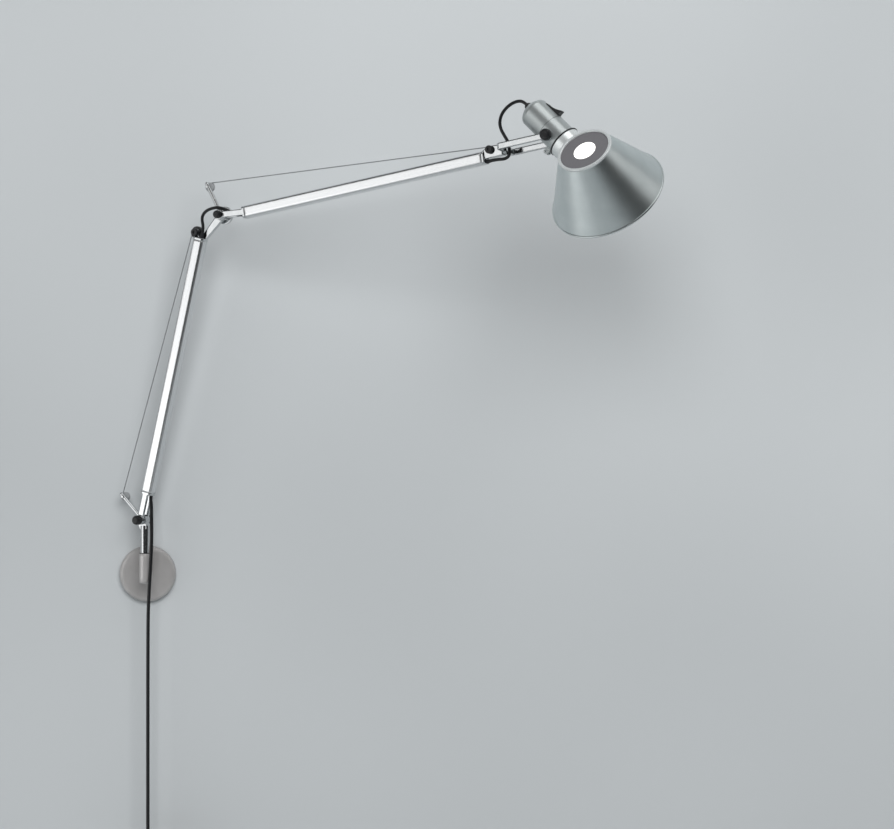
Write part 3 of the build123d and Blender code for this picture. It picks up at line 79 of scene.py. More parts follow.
# %% The cord's route, in metres
CORD_D = 0.0056
cord_points = [Vector(p) for p in (
    (0.01073, -0.04602, 0.12538), (0.00945, -0.04542, 0.11955), (0.0110, -0.0462, 0.1100), (0.0112, -0.0466, 0.0900),
    (0.0116, -0.0474, 0.0660), (0.0115, -0.0483, 0.0540), (0.01136, -0.04956, 0.0372), (0.0101, -0.0511, 0.0120),
    (0.0088, -0.0512, -0.0120), (0.0072, -0.0501, -0.0380), (0.0058, -0.0486, -0.0800), (0.0058, -0.0486, -0.4250))]
COIL_START = Vector((0.0058, -0.0486, -0.4345))
COIL_R, COIL_PITCH, COIL_LAYER, COIL_TAIL = 0.031, 0.0062, 0.0062, 0.026
STEPS = 6                          # control points to half a turn
INSIDE = 0.9662                    # the coil's radius as a share of its control points' distance from its middle


def coil_half_turn(start, end, level, rise=0.0):
    """The control points of half a turn from one side of the coil to the other, climbing by rise on the way."""
    middle, reach, outward = (start + end) / 2, (end - start) / 2, 1 / INSIDE
    points = []
    for step in range(STEPS):
        turn = pi * (step + 0.5) / STEPS
        x = middle - reach * cos(turn) * outward
        z = -reach * sin(turn) * outward
        up = level + rise * (step + 0.5) / STEPS
        points.append(Vector((COIL_START.x + COIL_R + x, COIL_START.y - up, COIL_START.z + z)))
    return points


left, right, pitch, layer = -COIL_R, COIL_R, COIL_PITCH, COIL_LAYER
inward = [(left, right), (right, left + pitch), (left + pitch, right - pitch)]
outward_turns = [(left + 2 * pitch, right), (right, left + pitch), (left + pitch, right + pitch)]
coil_turns = []
for start, end in inward:
    coil_turns += coil_half_turn(start, end, 0)
coil_turns += coil_half_turn(right - pitch, left + 2 * pitch, 0, layer)
for start, end in outward_turns:
    coil_turns += coil_half_turn(start, end, layer)
coil_turns += coil_half_turn(right + pitch, left, layer, layer)
for start, end in inward:
    coil_turns += coil_half_turn(start, end, 2 * layer)
coil_turns += coil_half_turn(right - pitch, left + 2 * pitch, 2 * layer, layer)
for start, end in outward_turns[:2]:
    coil_turns += coil_half_turn(start, end, 3 * layer)
last_side = COIL_START.x + COIL_R + left + pitch
last_level = COIL_START.y - 3 * layer
last_quarter = [Vector((last_side + COIL_R * (1 - cos(turn) / INSIDE), last_level,
                        COIL_START.z - COIL_R * sin(turn) / INSIDE))
                for turn in (radians(15), radians(45), radians(75))]
plug_at = Vector((last_side + COIL_R + COIL_TAIL, last_level, COIL_START.z - COIL_R))
PLUG_SLEEVE = Vector((0.012, 0, 0))
cord_points += coil_turns + last_quarter + [plug_at - PLUG_SLEEVE, plug_at]
print("cord control points", len(cord_points))

# %% [markdown]
# A bevelled curve would already look like a cord. This one is made a mesh: a small helper reads the smooth line from
# the spline, then sweeps the same spline with a round section.


# %% A smooth line and a round tube from control points
def smooth_curve(name, points, radius):
    """A NURBS curve of order three through given control points."""
    data = bpy.data.curves.new(name, "CURVE")
    data.dimensions = "3D"
    data.resolution_u = 8
    spline = data.splines.new("NURBS")
    spline.points.add(len(points) - 1)
    for control, place in zip(spline.points, points):
        control.co = (*place, 1.0)
    spline.order_u = 3
    spline.use_endpoint_u = True
    data.bevel_depth = radius
    data.bevel_resolution = 3
    data.use_fill_caps = True
    curve = bpy.data.objects.new(name, data)
    bpy.context.scene.collection.objects.link(curve)
    return curve


def plain_mesh(thing):
    """The evaluated shape of an object as a mesh object of the same name."""
    bpy.context.view_layer.update()
    depsgraph = bpy.context.evaluated_depsgraph_get()
    mesh = bpy.data.meshes.new_from_object(thing.evaluated_get(depsgraph))
    name = thing.name
    bpy.data.objects.remove(thing)
    made = bpy.data.objects.new(name, mesh)
    bpy.context.scene.collection.objects.link(made)
    for face in mesh.polygons:
        face.use_smooth = True
    return made


def soft_tube(name, points, diameter):
    """A swept tube on the smooth line, and the line itself."""
    bare = smooth_curve(name + "_line", points, 0.0)
    line = [v.co.copy() for v in plain_mesh(bare).data.vertices]
    bpy.data.objects.remove(bpy.data.objects[name + "_line"])
    return plain_mesh(smooth_curve(name, points, diameter / 2)), line


def line_length(line):
    return sum((b - a).length for a, b in zip(line, line[1:]))


power_cord, cord_line = soft_tube("power_cord_soft", cord_points, CORD_D)
print("power cord", round(line_length(cord_line), 3), "m, faces", len(power_cord.data.polygons))

# %% [markdown]
# ## The wires at the joints
# A thinner wire crosses the elbow from tube to tube, and another leaves the upper arm, passes the fork and goes into
# the lamp holder's back. Each is a short held loop, made the same way as the cord.

# %% Wires over the elbow and at the head
WIRE_D = 0.0048
elbow_points = [Vector(p) for p in (
    (0.09578, -0.09373, 0.52989), (0.09767, -0.09462, 0.53854), (0.0944, -0.0943, 0.55393), (0.1012, -0.0974, 0.5638),
    (0.11439, -0.10329, 0.5681), (0.1249, -0.10588, 0.5679), (0.13496, -0.10726, 0.56404), (0.14383, -0.11029, 0.55954),
    (0.15181, -0.11379, 0.55556), (0.15628, -0.11588, 0.55634))]
fork_points = [Vector(p) for p in (
    (0.53379, -0.29191, 0.61796), (0.54363, -0.2965, 0.61968), (0.55692, -0.3027, 0.61967),
    (0.56323, -0.30564, 0.62624), (0.56151, -0.30483, 0.63615))]
head_points = [Vector(p) for p in (
    (0.56151, -0.30483, 0.63615), (0.56007, -0.30416, 0.64442), (0.55496, -0.30178, 0.65315),
    (0.54905, -0.29903, 0.66426), (0.54786, -0.29803, 0.67567), (0.55182, -0.29921, 0.68695),
    (0.56047, -0.30215, 0.69669), (0.57128, -0.30553, 0.70252), (0.58135, -0.30876, 0.70253),
    (0.5864, -0.31164, 0.69703))]
elbow_wire, elbow_line = soft_tube("elbow_wire_soft", elbow_points, WIRE_D)
fork_wire, fork_line = soft_tube("fork_wire_soft", fork_points, WIRE_D)
head_wire, head_line = soft_tube("head_wire_soft", head_points, WIRE_D)
print("wires", [round(line_length(line), 3) for line in (elbow_line, fork_line, head_line)])

# %% [markdown]
# ## Small turned details
# The clamping knobs are black and round, with fine flutes for the fingers and a black screw end in the middle. The
# flutes repeat round the rim, so a Geometry Nodes tree instances one small bar on a circle and realizes the result.


# %% Where the knobs sit
def along(origin, axis, distance):
    return Vector(origin) + Vector(axis) * distance


VIEWER = Vector((-0.4226, -0.9063, 0.0))
HEAD_ALONG = Vector((0.6308, -0.3599, -0.6874))
RING_CENTRE = Vector((0.63876, -0.34151, 0.63997))
HEAD_SIDE = Vector((-0.4321, -0.8988, 0.0741))
LOWER_PIVOT = Vector((-0.00308, -0.04156, 0.0867))
ELBOW_PIVOT = Vector((0.12594, -0.10173, 0.55691))
TILT_PIVOT = Vector((0.62434, -0.33413, 0.64543))
# each knob: the middle of its inner face, its axis, radius and length in metres, and its body
knobs = {
    "lower": (along(LOWER_PIVOT, VIEWER, 0.0113), VIEWER, 0.0070, 0.0110, "lower_clamp"),
    "elbow": (along(ELBOW_PIVOT, VIEWER, 0.0097), VIEWER, 0.0058, 0.0080, "elbow_clamp"),
    "tilt": (along(TILT_PIVOT, HEAD_SIDE, 0.02685), HEAD_SIDE, 0.00825, 0.0080, "tilt_clamp"),
}
print({name: [round(v, 4) for v in place[0]] for name, place in knobs.items()})


# %% A node helper and the flute tree
def add_node(tree, kind, settings=None, **links):
    """Adds a node; a link is a socket, anything else is a value. An underscore in a name stands for a space."""
    made = tree.nodes.new(kind)
    for name, value in (settings or {}).items():
        setattr(made, name, value)
    for name, value in links.items():
        socket = made.inputs[int(name[1:])] if name[1:].isdigit() else made.inputs[name.replace("_", " ")]
        if isinstance(value, bpy.types.NodeSocket):
            tree.links.new(value, socket)
        else:
            socket.default_value = value
    return made


def flute_tree():
    """Bars on a circle: inputs are the circle's radius, the bars' size and their count."""
    tree = bpy.data.node_groups.new("grip_flutes", "GeometryNodeTree")
    tree.interface.new_socket("Geometry", in_out="OUTPUT", socket_type="NodeSocketGeometry")
    for name, kind in (("Radius", "NodeSocketFloat"), ("Bar Length", "NodeSocketFloat"),
                       ("Bar Width", "NodeSocketFloat"), ("Count", "NodeSocketInt"),
                       ("Finish", "NodeSocketMaterial")):
        tree.interface.new_socket(name, in_out="INPUT", socket_type=kind)
    given = tree.nodes.new("NodeGroupInput").outputs
    ring = add_node(tree, "GeometryNodeMeshCircle", Vertices=given["Count"], Radius=given["Radius"])
    spin = add_node(tree, "ShaderNodeSeparateXYZ", Vector=add_node(tree, "GeometryNodeInputPosition").outputs[0])
    angle = add_node(tree, "ShaderNodeMath", {"operation": "ARCTAN2"}, i0=spin.outputs["Y"], i1=spin.outputs["X"])
    turn = add_node(tree, "ShaderNodeCombineXYZ", Z=angle.outputs[0])
    bar = add_node(tree, "GeometryNodeMeshCylinder", Vertices=8, Radius=given["Bar Width"], Depth=given["Bar Length"])
    smooth = add_node(tree, "GeometryNodeSetShadeSmooth", Geometry=bar.outputs["Mesh"])
    bars = add_node(tree, "GeometryNodeInstanceOnPoints", Points=ring.outputs["Mesh"], Instance=smooth.outputs[0],
                    Rotation=turn.outputs[0])
    real = add_node(tree, "GeometryNodeRealizeInstances", Geometry=bars.outputs[0])
    finished = add_node(tree, "GeometryNodeSetMaterial", Geometry=real.outputs[0], Material=given["Finish"])
    tree.links.new(finished.outputs[0], tree.nodes.new("NodeGroupOutput").inputs[0])
    return tree


grip_flutes = flute_tree()
print("flute tree nodes", len(grip_flutes.nodes))

# %% [markdown]
# ## Finishes
# Each material starts from what the real one is and how its surface was made. Colours are written as sRGB hex values
# and one function turns them to the linear values that shaders want. Patterns read Object coordinates, in metres.


# %% Colour and the base of every finish
def linear(hex_colour):
    """An sRGB hex colour as linear red, green, blue and alpha."""
    parts = [int(hex_colour[i:i + 2], 16) / 255 for i in (0, 2, 4)]
    return (*[p / 12.92 if p <= 0.04045 else ((p + 0.055) / 1.055) ** 2.4 for p in parts], 1.0)


def new_finish(name, **shader):
    """A material with its shader, and the Object coordinates that its patterns read."""
    material = bpy.data.materials.new(name)
    material.use_nodes = True
    tree = material.node_tree
    surface = tree.nodes["Principled BSDF"]
    for socket, value in shader.items():
        surface.inputs[socket.replace("_", " ")].default_value = value
    place = add_node(tree, "ShaderNodeTexCoord").outputs["Object"]
    return material, tree, surface, place


def tone(tree, surface, pattern, low, high, dark, light):
    """Colour that follows a pattern between two close tones."""
    ramp = add_node(tree, "ShaderNodeMapRange", Value=pattern, From_Min=low, From_Max=high)
    mix = add_node(tree, "ShaderNodeMix", {"data_type": "RGBA"}, Factor=ramp.outputs[0])
    mix.inputs[6].default_value, mix.inputs[7].default_value = linear(dark), linear(light)
    tree.links.new(mix.outputs[2], surface.inputs["Base Color"])


def polish(tree, surface, pattern, low, high, least, most):
    """Roughness that follows a pattern."""
    ramp = add_node(tree, "ShaderNodeMapRange", Value=pattern, From_Min=low, From_Max=high, To_Min=least, To_Max=most)
    tree.links.new(ramp.outputs[0], surface.inputs["Roughness"])


def relief(tree, surface, pattern, depth, strength=1.0, edge=0.0):
    """Bump of a real depth in metres, over edges that catch the light as if they were rounded."""
    bump = add_node(tree, "ShaderNodeBump", Height=pattern, Distance=depth, Strength=strength)
    if edge:
        rounded = add_node(tree, "ShaderNodeBevel", {"samples": 8}, Radius=edge)
        tree.links.new(rounded.outputs[0], bump.inputs["Normal"])
    tree.links.new(bump.outputs[0], surface.inputs["Normal"])


# %% [markdown]
# ### Bright anodised aluminium extrusion
# The arms are square tube, drawn through a die and brightened, so faint lines run along them. A noise that is
# stretched along the arm draws those lines; they are 0.5 mm apart, coarser than the real ones, so that they show.


# %% Extruded tube, one finish for each arm's direction
def extrusion_finish(name, direction):
    material, tree, surface, place = new_finish(name, Metallic=1.0, Roughness=0.22)
    turn = Vector(direction).rotation_difference(Vector((1, 0, 0))).to_euler()
    lengthwise = add_node(tree, "ShaderNodeMapping", Vector=place, Rotation=turn)
    stretched = add_node(tree, "ShaderNodeMapping", Vector=lengthwise.outputs[0], Scale=(6.0, 2000.0, 2000.0))
    lines = add_node(tree, "ShaderNodeTexNoise", Vector=stretched.outputs[0], Scale=1.0, Detail=3.0)
    tone(tree, surface, lines.outputs["Fac"], 0.3, 0.7, "d4d6d7", "e6e7e8")
    polish(tree, surface, lines.outputs["Fac"], 0.3, 0.7, 0.16, 0.3)
    relief(tree, surface, lines.outputs["Fac"], 0.00001, 0.35, edge=0.0045)
    return material


LOWER_ALONG = Vector((0.2131, -0.0994, 0.972))
UPPER_ALONG = Vector((0.8951, -0.4174, 0.1564))
bright_extrusion_lower = extrusion_finish("bright_anodised_extrusion_lower", LOWER_ALONG)
bright_extrusion_upper = extrusion_finish("bright_anodised_extrusion_upper", UPPER_ALONG)

# %% [markdown]
# ### Polished die cast aluminium
# Forks, posts and end pieces are cast, then tumbled and polished: mirror like from afar, with a soft unevenness of
# tone about 8 mm wide and a fine grain.

# %% Cast pieces
polished_casting, tree, surface, place = new_finish("polished_die_cast_aluminium", Metallic=1.0, Roughness=0.2)
grain = add_node(tree, "ShaderNodeTexNoise", Vector=place, Scale=120.0, Detail=2.0)
fine = add_node(tree, "ShaderNodeTexNoise", Vector=place, Scale=2500.0, Detail=2.0)
tone(tree, surface, grain.outputs["Fac"], 0.3, 0.7, "c6c9ca", "cfd1d2")
polish(tree, surface, fine.outputs["Fac"], 0.3, 0.7, 0.1, 0.18)
relief(tree, surface, fine.outputs["Fac"], 0.000003, 0.2, edge=0.0025)

# %% [markdown]
# ### Satin anodised spinnings
# The shade is spun from sheet on a lathe and anodised satin, so the light spreads into one broad soft streak from cap
# to rim. The rings that the spinning tool leaves are 0.8 mm apart. The wall cover and its sleeve have the same
# rings, turned round the wall plate's middle, and shine less. Each finish turns its pattern to the piece's own axis
# and reads the distance from it.


# %% Spun sheet
WAVE_STEP = 0.314                  # metres between the waves of a wave texture at a scale of 1


def spun_finish(name, centre, axis, dark, light, least, most, ring=0.0008, metal=1.0, edge=0.0):
    material, tree, surface, place = new_finish(name, Metallic=metal, Roughness=most)
    turn = Vector(axis).rotation_difference(Vector((0, 0, 1)))
    moved = add_node(tree, "ShaderNodeMapping", Vector=place, Rotation=turn.to_euler(),
                     Location=-(turn @ Vector(centre)))
    rings = add_node(tree, "ShaderNodeTexWave", {"wave_type": "RINGS", "rings_direction": "Z"},
                     Vector=moved.outputs[0], Scale=WAVE_STEP / ring, Distortion=1.5, Detail=2.0, Detail_Scale=1.0)
    cloud = add_node(tree, "ShaderNodeTexNoise", Vector=place, Scale=40.0, Detail=3.0)
    grit = add_node(tree, "ShaderNodeTexNoise", Vector=place, Scale=3000.0, Detail=2.0)
    tone(tree, surface, cloud.outputs["Fac"], 0.3, 0.7, dark, light)
    polish(tree, surface, grit.outputs["Fac"], 0.3, 0.7, least, most)
    relief(tree, surface, rings.outputs["Fac"], 0.000012, 0.4, edge)
    return material


CAP_CENTRE = Vector((0.66479, -0.4001, 0.61955))
SHADE_AXIS = Vector((0.4191, 0.6627, -0.6206))
satin_shade = spun_finish("satin_anodised_spun_shade", CAP_CENTRE, SHADE_AXIS, "ccd4d4", "d5dcdc", 0.33, 0.41)
satin_cover = spun_finish("satin_anodised_spun_cover", (0, 0, 0), (0, 1, 0), "b3b1b0", "bdbbba", 0.3, 0.4,
                          metal=0.45, edge=0.008)
satin_rings = spun_finish("satin_anodised_turned_rings", RING_CENTRE, HEAD_ALONG,
                          "d6dada", "dee2e2", 0.26, 0.36, metal=0.6)

# %% [markdown]
# ### Metallic lacquer, steel, plastics, glass
# The lamp holder is moulded and sprayed with silver lacquer. The stem, screws and cables are plain steel. Knobs,
# sheaves, boots and the cord's sheath are black, each with the gloss its own making leaves.

# %% Silver lacquer on the lamp holder
silver_lacquer, tree, surface, place = new_finish("silver_lacquer_on_moulding", Metallic=0.75, Roughness=0.38,
                                                  Coat_Weight=0.25, Coat_Roughness=0.25)
flakes = add_node(tree, "ShaderNodeTexVoronoi", Vector=place, Scale=2200.0)
peel = add_node(tree, "ShaderNodeTexNoise", Vector=place, Scale=900.0, Detail=2.0)
tone(tree, surface, flakes.outputs["Distance"], 0.1, 0.7, "b9bebe", "aab0b0")
polish(tree, surface, peel.outputs["Fac"], 0.3, 0.7, 0.32, 0.44)
relief(tree, surface, peel.outputs["Fac"], 0.00002, 0.3)

# %% Steel
drawn_steel, tree, surface, place = new_finish("bright_drawn_steel", Metallic=1.0, Roughness=0.2)
marks = add_node(tree, "ShaderNodeTexNoise", Vector=place, Scale=700.0, Detail=4.0)
tone(tree, surface, marks.outputs["Fac"], 0.3, 0.7, "b4b6b7", "c9cbcc")
polish(tree, surface, marks.outputs["Fac"], 0.3, 0.7, 0.13, 0.28)
relief(tree, surface, marks.outputs["Fac"], 0.00001, 0.3)

plated_steel, tree, surface, place = new_finish("zinc_plated_steel", Metallic=1.0, Roughness=0.4)
spangle = add_node(tree, "ShaderNodeTexVoronoi", Vector=place, Scale=350.0)
tone(tree, surface, spangle.outputs["Distance"], 0.0, 0.7, "a8abae", "c2c5c8")
polish(tree, surface, spangle.outputs["Distance"], 0.0, 0.7, 0.3, 0.5)


# %% Steel rope
STRAND_STEP = 0.0012               # metres between strands along the cable


def rope_finish(name, direction):
    material, tree, surface, place = new_finish(name, Metallic=1.0, Roughness=0.35)
    turn = Vector(direction).rotation_difference(Vector((1, 0, 0))).to_euler()
    lengthwise = add_node(tree, "ShaderNodeMapping", Vector=place, Rotation=turn)
    # diagonal bands lie twice as far apart along the cable as straight ones
    strands = add_node(tree, "ShaderNodeTexWave", {"wave_type": "BANDS", "bands_direction": "DIAGONAL"},
                       Vector=lengthwise.outputs[0], Scale=2 * WAVE_STEP / STRAND_STEP, Distortion=0.0)
    # The tone darkens where the bands dip, which paints the shade in the grooves between the strands.
    tone(tree, surface, strands.outputs["Fac"], 0.0, 0.6, "6e7173", "b9bcbe")
    polish(tree, surface, strands.outputs["Fac"], 0.0, 1.0, 0.45, 0.25)
    relief(tree, surface, strands.outputs["Fac"], 0.0001, 0.6)
    return material


# %% Black plastics and rubber
def black_finish(name, colour, lighter, gloss, grain_scale, depth):
    material, tree, surface, place = new_finish(name, Roughness=gloss, IOR=1.5)
    grain = add_node(tree, "ShaderNodeTexNoise", Vector=place, Scale=grain_scale, Detail=3.0)
    tone(tree, surface, grain.outputs["Fac"], 0.3, 0.7, colour, lighter)
    polish(tree, surface, grain.outputs["Fac"], 0.3, 0.7, gloss - 0.07, gloss + 0.07)
    relief(tree, surface, grain.outputs["Fac"], depth, 0.5)
    return material


black_nylon = black_finish("black_moulded_nylon", "0f1011", "17181a", 0.38, 1800.0, 0.00003)
black_pvc = black_finish("black_flex_sheath", "0c0d0e", "141517", 0.42, 1200.0, 0.00002)
soft_boot = black_finish("black_rubber_boot", "1a1b1d", "242527", 0.6, 1500.0, 0.00004)
grey_acetal = black_finish("grey_moulded_acetal", "8f9294", "9a9d9f", 0.35, 1500.0, 0.00002)
white_ceramic = black_finish("white_glazed_socket", "d9d8d2", "e4e3de", 0.25, 600.0, 0.00002)
grey_disc = black_finish("grey_diffuser_rim", "5d5c5f", "69686b", 0.5, 700.0, 0.00003)

# %% Lens, bulb glass and brass
lit_lens, tree, surface, place = new_finish("lit_opal_lens", Roughness=0.35, Emission_Strength=1.0, IOR=1.49)
surface.inputs["Emission Color"].default_value = linear("fffdf8")
frost = add_node(tree, "ShaderNodeTexNoise", Vector=place, Scale=500.0, Detail=2.0)
tone(tree, surface, frost.outputs["Fac"], 0.3, 0.7, "eeece6", "f8f7f3")
relief(tree, surface, frost.outputs["Fac"], 0.00002, 0.3)

frosted_glass, tree, surface, place = new_finish("frosted_bulb_glass", Roughness=0.4, Transmission_Weight=0.6,
                                                 Emission_Strength=0.6, IOR=1.45)
surface.inputs["Emission Color"].default_value = linear("fff4e0")
frost = add_node(tree, "ShaderNodeTexNoise", Vector=place, Scale=900.0, Detail=2.0)
tone(tree, surface, frost.outputs["Fac"], 0.3, 0.7, "f2efe6", "fbf9f2")
relief(tree, surface, frost.outputs["Fac"], 0.00002, 0.3)

pin_brass, tree, surface, place = new_finish("turned_brass", Metallic=1.0, Roughness=0.3)
turned = add_node(tree, "ShaderNodeTexNoise", Vector=place, Scale=1500.0, Detail=2.0)
tone(tree, surface, turned.outputs["Fac"], 0.3, 0.7, "c39d52", "d8b66a")
polish(tree, surface, turned.outputs["Fac"], 0.3, 0.7, 0.2, 0.38)
print("materials", len(bpy.data.materials))

# %% [markdown]
# ### Finishes go onto the solids
# A CAD solid keeps its mesh and only changes its material slot. A table from finish to node names is easy to check:
# every node is named once, and the cell stops if one was forgotten.

# %% Give every node its finish
rope_lower = rope_finish("steel_rope_lower", (0.27, -0.126, 0.954))
rope_upper = rope_finish("steel_rope_upper", (0.9, -0.42, 0.1))
finishes = {
    bright_extrusion_lower: ["lower_tube"],
    bright_extrusion_upper: ["upper_tube"],
    polished_casting: ["lower_fork", "upper_fork", "lower_end", "upper_end", "yoke", "lower_post", "elbow_post",
                       "elbow_bolt"],
    satin_shade: ["shade", "handle"],
    satin_cover: ["plate_cover", "sleeve"],
    satin_rings: ["shade_neck", "cap_ring"],
    silver_lacquer: ["rear_shell", "collar"],
    drawn_steel: ["stem", "lower_post_pin", "elbow_post_pin", "grub_screws", "neck_screws"],
    plated_steel: ["wall_plate", "lower_spring", "upper_spring"],
    rope_lower: ["lower_cable"],
    rope_upper: ["upper_cable"],
    black_nylon: ["lower_bolt", "lower_roller_bolt", "upper_roller_bolt", "tilt_bolts", "lower_knob", "elbow_knob",
                  "tilt_knob", "lower_roller", "upper_roller", "cord_tie", "plug", "switch_rocker", "switch_base",
                  "stem_bush", "strain_relief", "holder_ring"],
    soft_boot: ["lower_boot", "upper_boots", "cord_grommet"],
    black_pvc: ["power_cord_top", "power_cord", "cord_coil", "elbow_wire", "fork_wire", "head_wire"],
    grey_acetal: ["lower_pulley", "elbow_pulley"],
    white_ceramic: ["lamp_socket"],
    grey_disc: ["cap_disc"],
    lit_lens: ["cap_lens"],
    frosted_glass: ["bulb"],
    pin_brass: ["plug_pins"],
}
# The rolled rim is polished, and its tone, lighter than the shade's, is a painted highlight along the bead.
rolled_rim = spun_finish("polished_rim_painted_highlight", CAP_CENTRE, SHADE_AXIS, "d5dada", "dde2e2", 0.12, 0.2)
RIM_DEPTH, RIM_BAND = 0.0867, 0.001
for finish, names in finishes.items():
    for name in names:
        nodes[name].data.materials.clear()
        nodes[name].data.materials.append(finish)
shade_mesh = nodes["shade"].data
shade_mesh.materials.append(rolled_rim)
for face in shade_mesh.polygons:
    if (face.center - CAP_CENTRE).dot(SHADE_AXIS) > RIM_DEPTH - RIM_BAND:
        face.material_index = 1
forgotten = set(nodes) - {name for names in finishes.values() for name in names}
assert not forgotten, forgotten
print("finished", sum(len(names) for names in finishes.values()), "nodes")

# %% [markdown]
# ## The soft pieces in place
# A real wire that crosses a joint bends with it. Here the cord and wires get the black sheath's finish and are
# baked in place, and the CAD's own cord and wire solids are hidden.

# %% Cord and wires
for piece in (power_cord, elbow_wire, fork_wire, head_wire):
    piece.data.materials.clear()
    piece.data.materials.append(black_pvc)
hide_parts("power_cord_top", "power_cord", "cord_coil")
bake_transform(power_cord)
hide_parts("elbow_wire")
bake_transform(elbow_wire)
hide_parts("fork_wire")
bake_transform(fork_wire)
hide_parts("head_wire")
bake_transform(head_wire)

# %% [markdown]
# ## The balance cables
# A cable runs from the little pulley on its post to the roller at the arm's far end. The CAD cable is rigid, and a
# copy of it, with the steel rope's finish, takes its place; the real one turns on the pulley near the post.


# %% Cable copies
def bending_cable(node, name, finish):
    """A copy of a cable solid with a rope finish, baked in its world place, while the solid itself is hidden."""
    copy = bpy.data.objects.new(name, nodes[node].data.copy())
    bpy.context.scene.collection.objects.link(copy)
    copy.data.materials.clear()
    copy.data.materials.append(finish)
    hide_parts(node)
    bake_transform(copy)


bending_cable("lower_cable", "lower_cable_soft", rope_lower)
bending_cable("upper_cable", "upper_cable_soft", rope_upper)


# %% Flutes and screw ends on the knobs
FLUTES, FLUTE_R, FLUTE_SUNK, ROUND = 28, 0.0005, 0.0002, 24


def onto(thing, origin, axis):
    """Moves a mesh made round the Z axis to its place, and leaves its object at the world's origin."""
    turn = Vector((0, 0, 1)).rotation_difference(Vector(axis)).to_matrix().to_4x4()
    thing.data.transform(Matrix.Translation(origin) @ turn)
    return thing


def fluted_band(name, radius, length, count, finish):
    """The flute tree run once with a knob's sizes, as a plain mesh round the Z axis."""
    holder = bpy.data.objects.new(name, bpy.data.meshes.new(name))
    bpy.context.scene.collection.objects.link(holder)
    modifier = holder.modifiers.new("grip", "NODES")
    modifier.node_group = grip_flutes
    sockets = {item.name: item.identifier for item in grip_flutes.interface.items_tree if item.in_out == "INPUT"}
    modifier[sockets["Radius"]] = radius - FLUTE_SUNK
    modifier[sockets["Bar Length"]] = length
    modifier[sockets["Bar Width"]] = FLUTE_R
    modifier[sockets["Count"]] = count
    modifier[sockets["Finish"]] = finish
    return plain_mesh(holder)


def screw_end(name, radius):
    """The end of a hexagon socket screw: a chamfered disc with a six sided hole, round the Z axis."""
    work = bmesh.new()
    rings = []
    for ring_radius, height, hexagon in ((radius, 0.0, False), (radius, 0.0005, False),
                                         (radius * 0.88, 0.0008, False), (radius * 0.58, 0.0008, True),
                                         (radius * 0.55, 0.0006, True), (radius * 0.55, -0.0006, True)):
        corners = []
        for i in range(ROUND):
            angle = 2 * pi * i / ROUND
            reach = ring_radius
            if hexagon:
                reach = ring_radius * cos(pi / 6) / cos((angle % (pi / 3)) - pi / 6)
            corners.append(work.verts.new((reach * cos(angle), reach * sin(angle), height)))
        rings.append(corners)
    for inner, outer in zip(rings[1:], rings):
        for i in range(ROUND):
            after = (i + 1) % ROUND
            work.faces.new((outer[i], outer[after], inner[after], inner[i]))
    work.faces.new(rings[-1])
    work.faces.new(list(reversed(rings[0])))
    bmesh.ops.recalc_face_normals(work, faces=work.faces)
    mesh = bpy.data.meshes.new(name)
    work.to_mesh(mesh)
    work.free()
    made = bpy.data.objects.new(name, mesh)
    bpy.context.scene.collection.objects.link(made)
    return made


for knob, (face, axis, radius, length, body) in knobs.items():
    band = onto(fluted_band(f"{knob}_knob_flutes", radius, length * 0.55, FLUTES, black_nylon),
                face + axis * length * 0.38, axis)
    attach(band, body)
    cap = onto(screw_end(f"{knob}_screw_end", radius * 0.42), face + axis * (length - 0.0002), axis)
    cap.data.materials.append(black_nylon)
    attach(cap, body)
print("knob details", len(knobs))


# %% The rocker stands a little prouder of the holder than its plain solid
HOLDER_R, ROCKER_PROUD = 0.022, 1.7
HEAD_UP = Vector((0.6445, -0.2503, 0.7225))
rocker = bpy.data.objects.new("rocker_key", nodes["switch_rocker"].data.copy())
bpy.context.scene.collection.objects.link(rocker)
for vertex in rocker.data.vertices:
    height = (vertex.co - RING_CENTRE).dot(HEAD_UP) - HOLDER_R
    if height > 0:
        vertex.co += HEAD_UP * height * (ROCKER_PROUD - 1)
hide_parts("switch_rocker")
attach(rocker, "rocker")


# %% Painted shade: a thin black ring in the seam where the holder's rear shell meets its collar
def seam_shade_ring(name, at, axis, radius, thick):
    """A thin black ring round an axis that paints shade into a seam, with its place in the mesh and the object at the
    world's origin.
    """
    bpy.ops.mesh.primitive_torus_add(major_segments=96, minor_segments=8, major_radius=radius, minor_radius=thick)
    ring = bpy.context.object
    ring.name = name
    for face in ring.data.polygons:
        face.use_smooth = True
    ring.data.materials.append(black_nylon)
    return onto(ring, at, axis)


seam = seam_shade_ring("holder_seam_shade", RING_CENTRE - HEAD_ALONG * 0.0300, HEAD_ALONG, 0.0219, 0.0003)
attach(seam, "lamp_holder")

# %% [markdown]
# ## Stage and light
# A plain pale wall stands right behind the lamp, and a pale floor well below it. Both are clear to a camera behind
# them, so the back of the lamp shows too. Bright metal shows what stands around it, so a wide soft panel at the front
# left gives the arms their white faces, and smaller ones above and at the right light the head. A card low on the left
# only shows in the metal, and a large fill far in front lights the room and never shows in it. The world is dim as a
# light, which keeps the dark edges, and as pale as the wall to the camera.


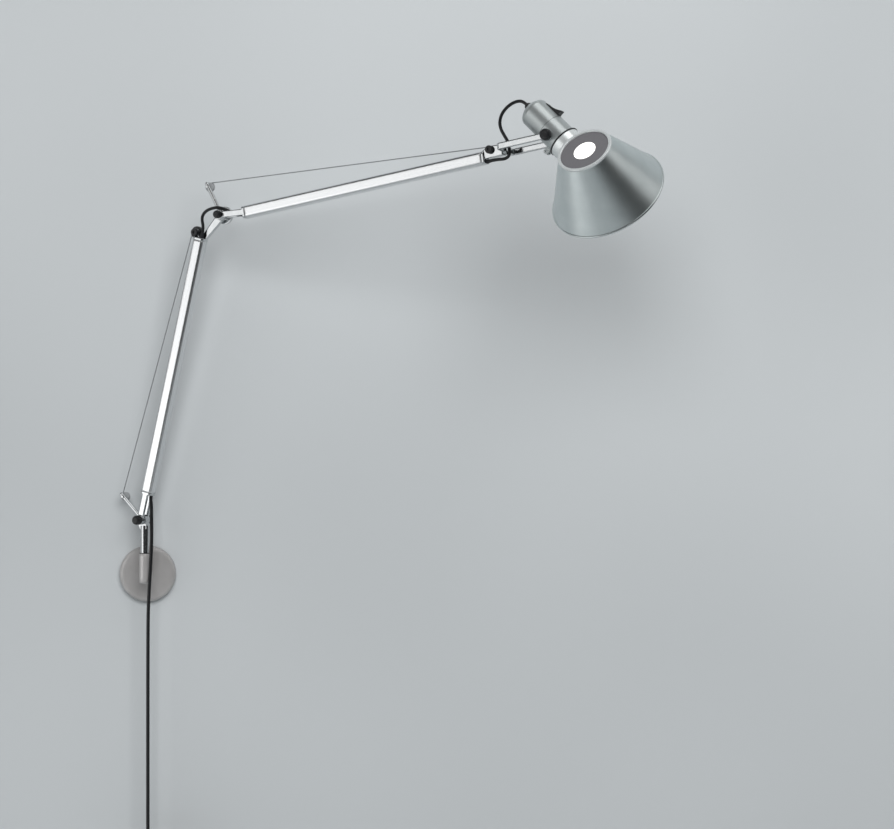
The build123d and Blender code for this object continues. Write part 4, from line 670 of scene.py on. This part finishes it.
# %% Wall and floor
def plain_sheet(name, corners):
    """A painted sheet that a camera behind it sees through."""
    mesh = bpy.data.meshes.new(name)
    mesh.from_pydata(corners, [], [(0, 1, 2, 3)])
    sheet = bpy.data.objects.new(name, mesh)
    bpy.context.scene.collection.objects.link(sheet)
    material, tree, surface, place = new_finish(name + "_paint", Roughness=0.9)
    cloud = add_node(tree, "ShaderNodeTexNoise", Vector=place, Scale=1.2, Detail=1.0)
    tone(tree, surface, cloud.outputs["Fac"], 0.3, 0.7, "b4b8ba", "bfc3c5")
    rays, sides = add_node(tree, "ShaderNodeLightPath"), add_node(tree, "ShaderNodeNewGeometry")
    seen_behind = add_node(tree, "ShaderNodeMath", {"operation": "MULTIPLY"}, i0=rays.outputs["Is Camera Ray"],
                           i1=sides.outputs["Backfacing"])
    clear = add_node(tree, "ShaderNodeBsdfTransparent")
    one_way = add_node(tree, "ShaderNodeMixShader", i0=seen_behind.outputs[0], i1=surface.outputs["BSDF"],
                       i2=clear.outputs["BSDF"])
    tree.links.new(one_way.outputs[0], tree.nodes["Material Output"].inputs["Surface"])
    mesh.materials.append(material)


LEFT, RIGHT, FRONT, WALL, FLOOR, TOP = -4, 5, -5, 0.0006, -1.2, 3.5
plain_sheet("wall", [(LEFT, WALL, FLOOR), (RIGHT, WALL, FLOOR), (RIGHT, WALL, TOP), (LEFT, WALL, TOP)])
plain_sheet("floor", [(LEFT, FRONT, FLOOR), (RIGHT, FRONT, FLOOR), (RIGHT, WALL, FLOOR), (LEFT, WALL, FLOOR)])


# %% Lights
def soft_panel(name, place, target, width, height, watts, mirrored=True, lights=True):
    """A soft panel; one may light the room and never show in bright metal, another only show in the metal."""
    data = bpy.data.lights.new(name, "AREA")
    data.shape, data.size, data.size_y, data.energy = "RECTANGLE", width, height, watts
    panel = bpy.data.objects.new(name, data)
    panel.location = place
    panel.rotation_euler = (Vector(target) - Vector(place)).to_track_quat("-Z", "Y").to_euler()
    panel.visible_glossy, panel.visible_diffuse = mirrored, lights
    bpy.context.scene.collection.objects.link(panel)


soft_panel("window_panel", (-2.6, -2.3, 0.6), (0.2, -0.1, 0.4), 2.2, 2.4, 21)
soft_panel("top_panel", (0.8, -1.2, 2.6), (0.5, -0.1, 0.4), 1.6, 1.2, 12)
soft_panel("low_left_card", (-1.8, -1.0, -0.6), (0.65, -0.36, 0.6), 2.4, 2.0, 10.5, lights=False)
soft_panel("right_panel", (2.9, -1.1, 1.7), (0.65, -0.36, 0.6), 1.6, 1.6, 6)
soft_panel("room_fill", (0.9, -3.9, 1.8), (0.5, 0, 0.2), 3.4, 2.4, 160, mirrored=False)
world = bpy.data.worlds.new("dim_studio")
world.use_nodes = True
DIM, PALE = 0.045, 0.45            # the world's strength as a light, and to the camera
tree = world.node_tree
backdrop = tree.nodes["Background"]
backdrop.inputs["Color"].default_value = (0.95, 0.98, 1.0, 1)
strength = add_node(tree, "ShaderNodeMapRange", Value=add_node(tree, "ShaderNodeLightPath").outputs["Is Camera Ray"],
                    To_Min=DIM, To_Max=PALE)
tree.links.new(strength.outputs["Result"], backdrop.inputs["Strength"])
bpy.context.scene.world = world
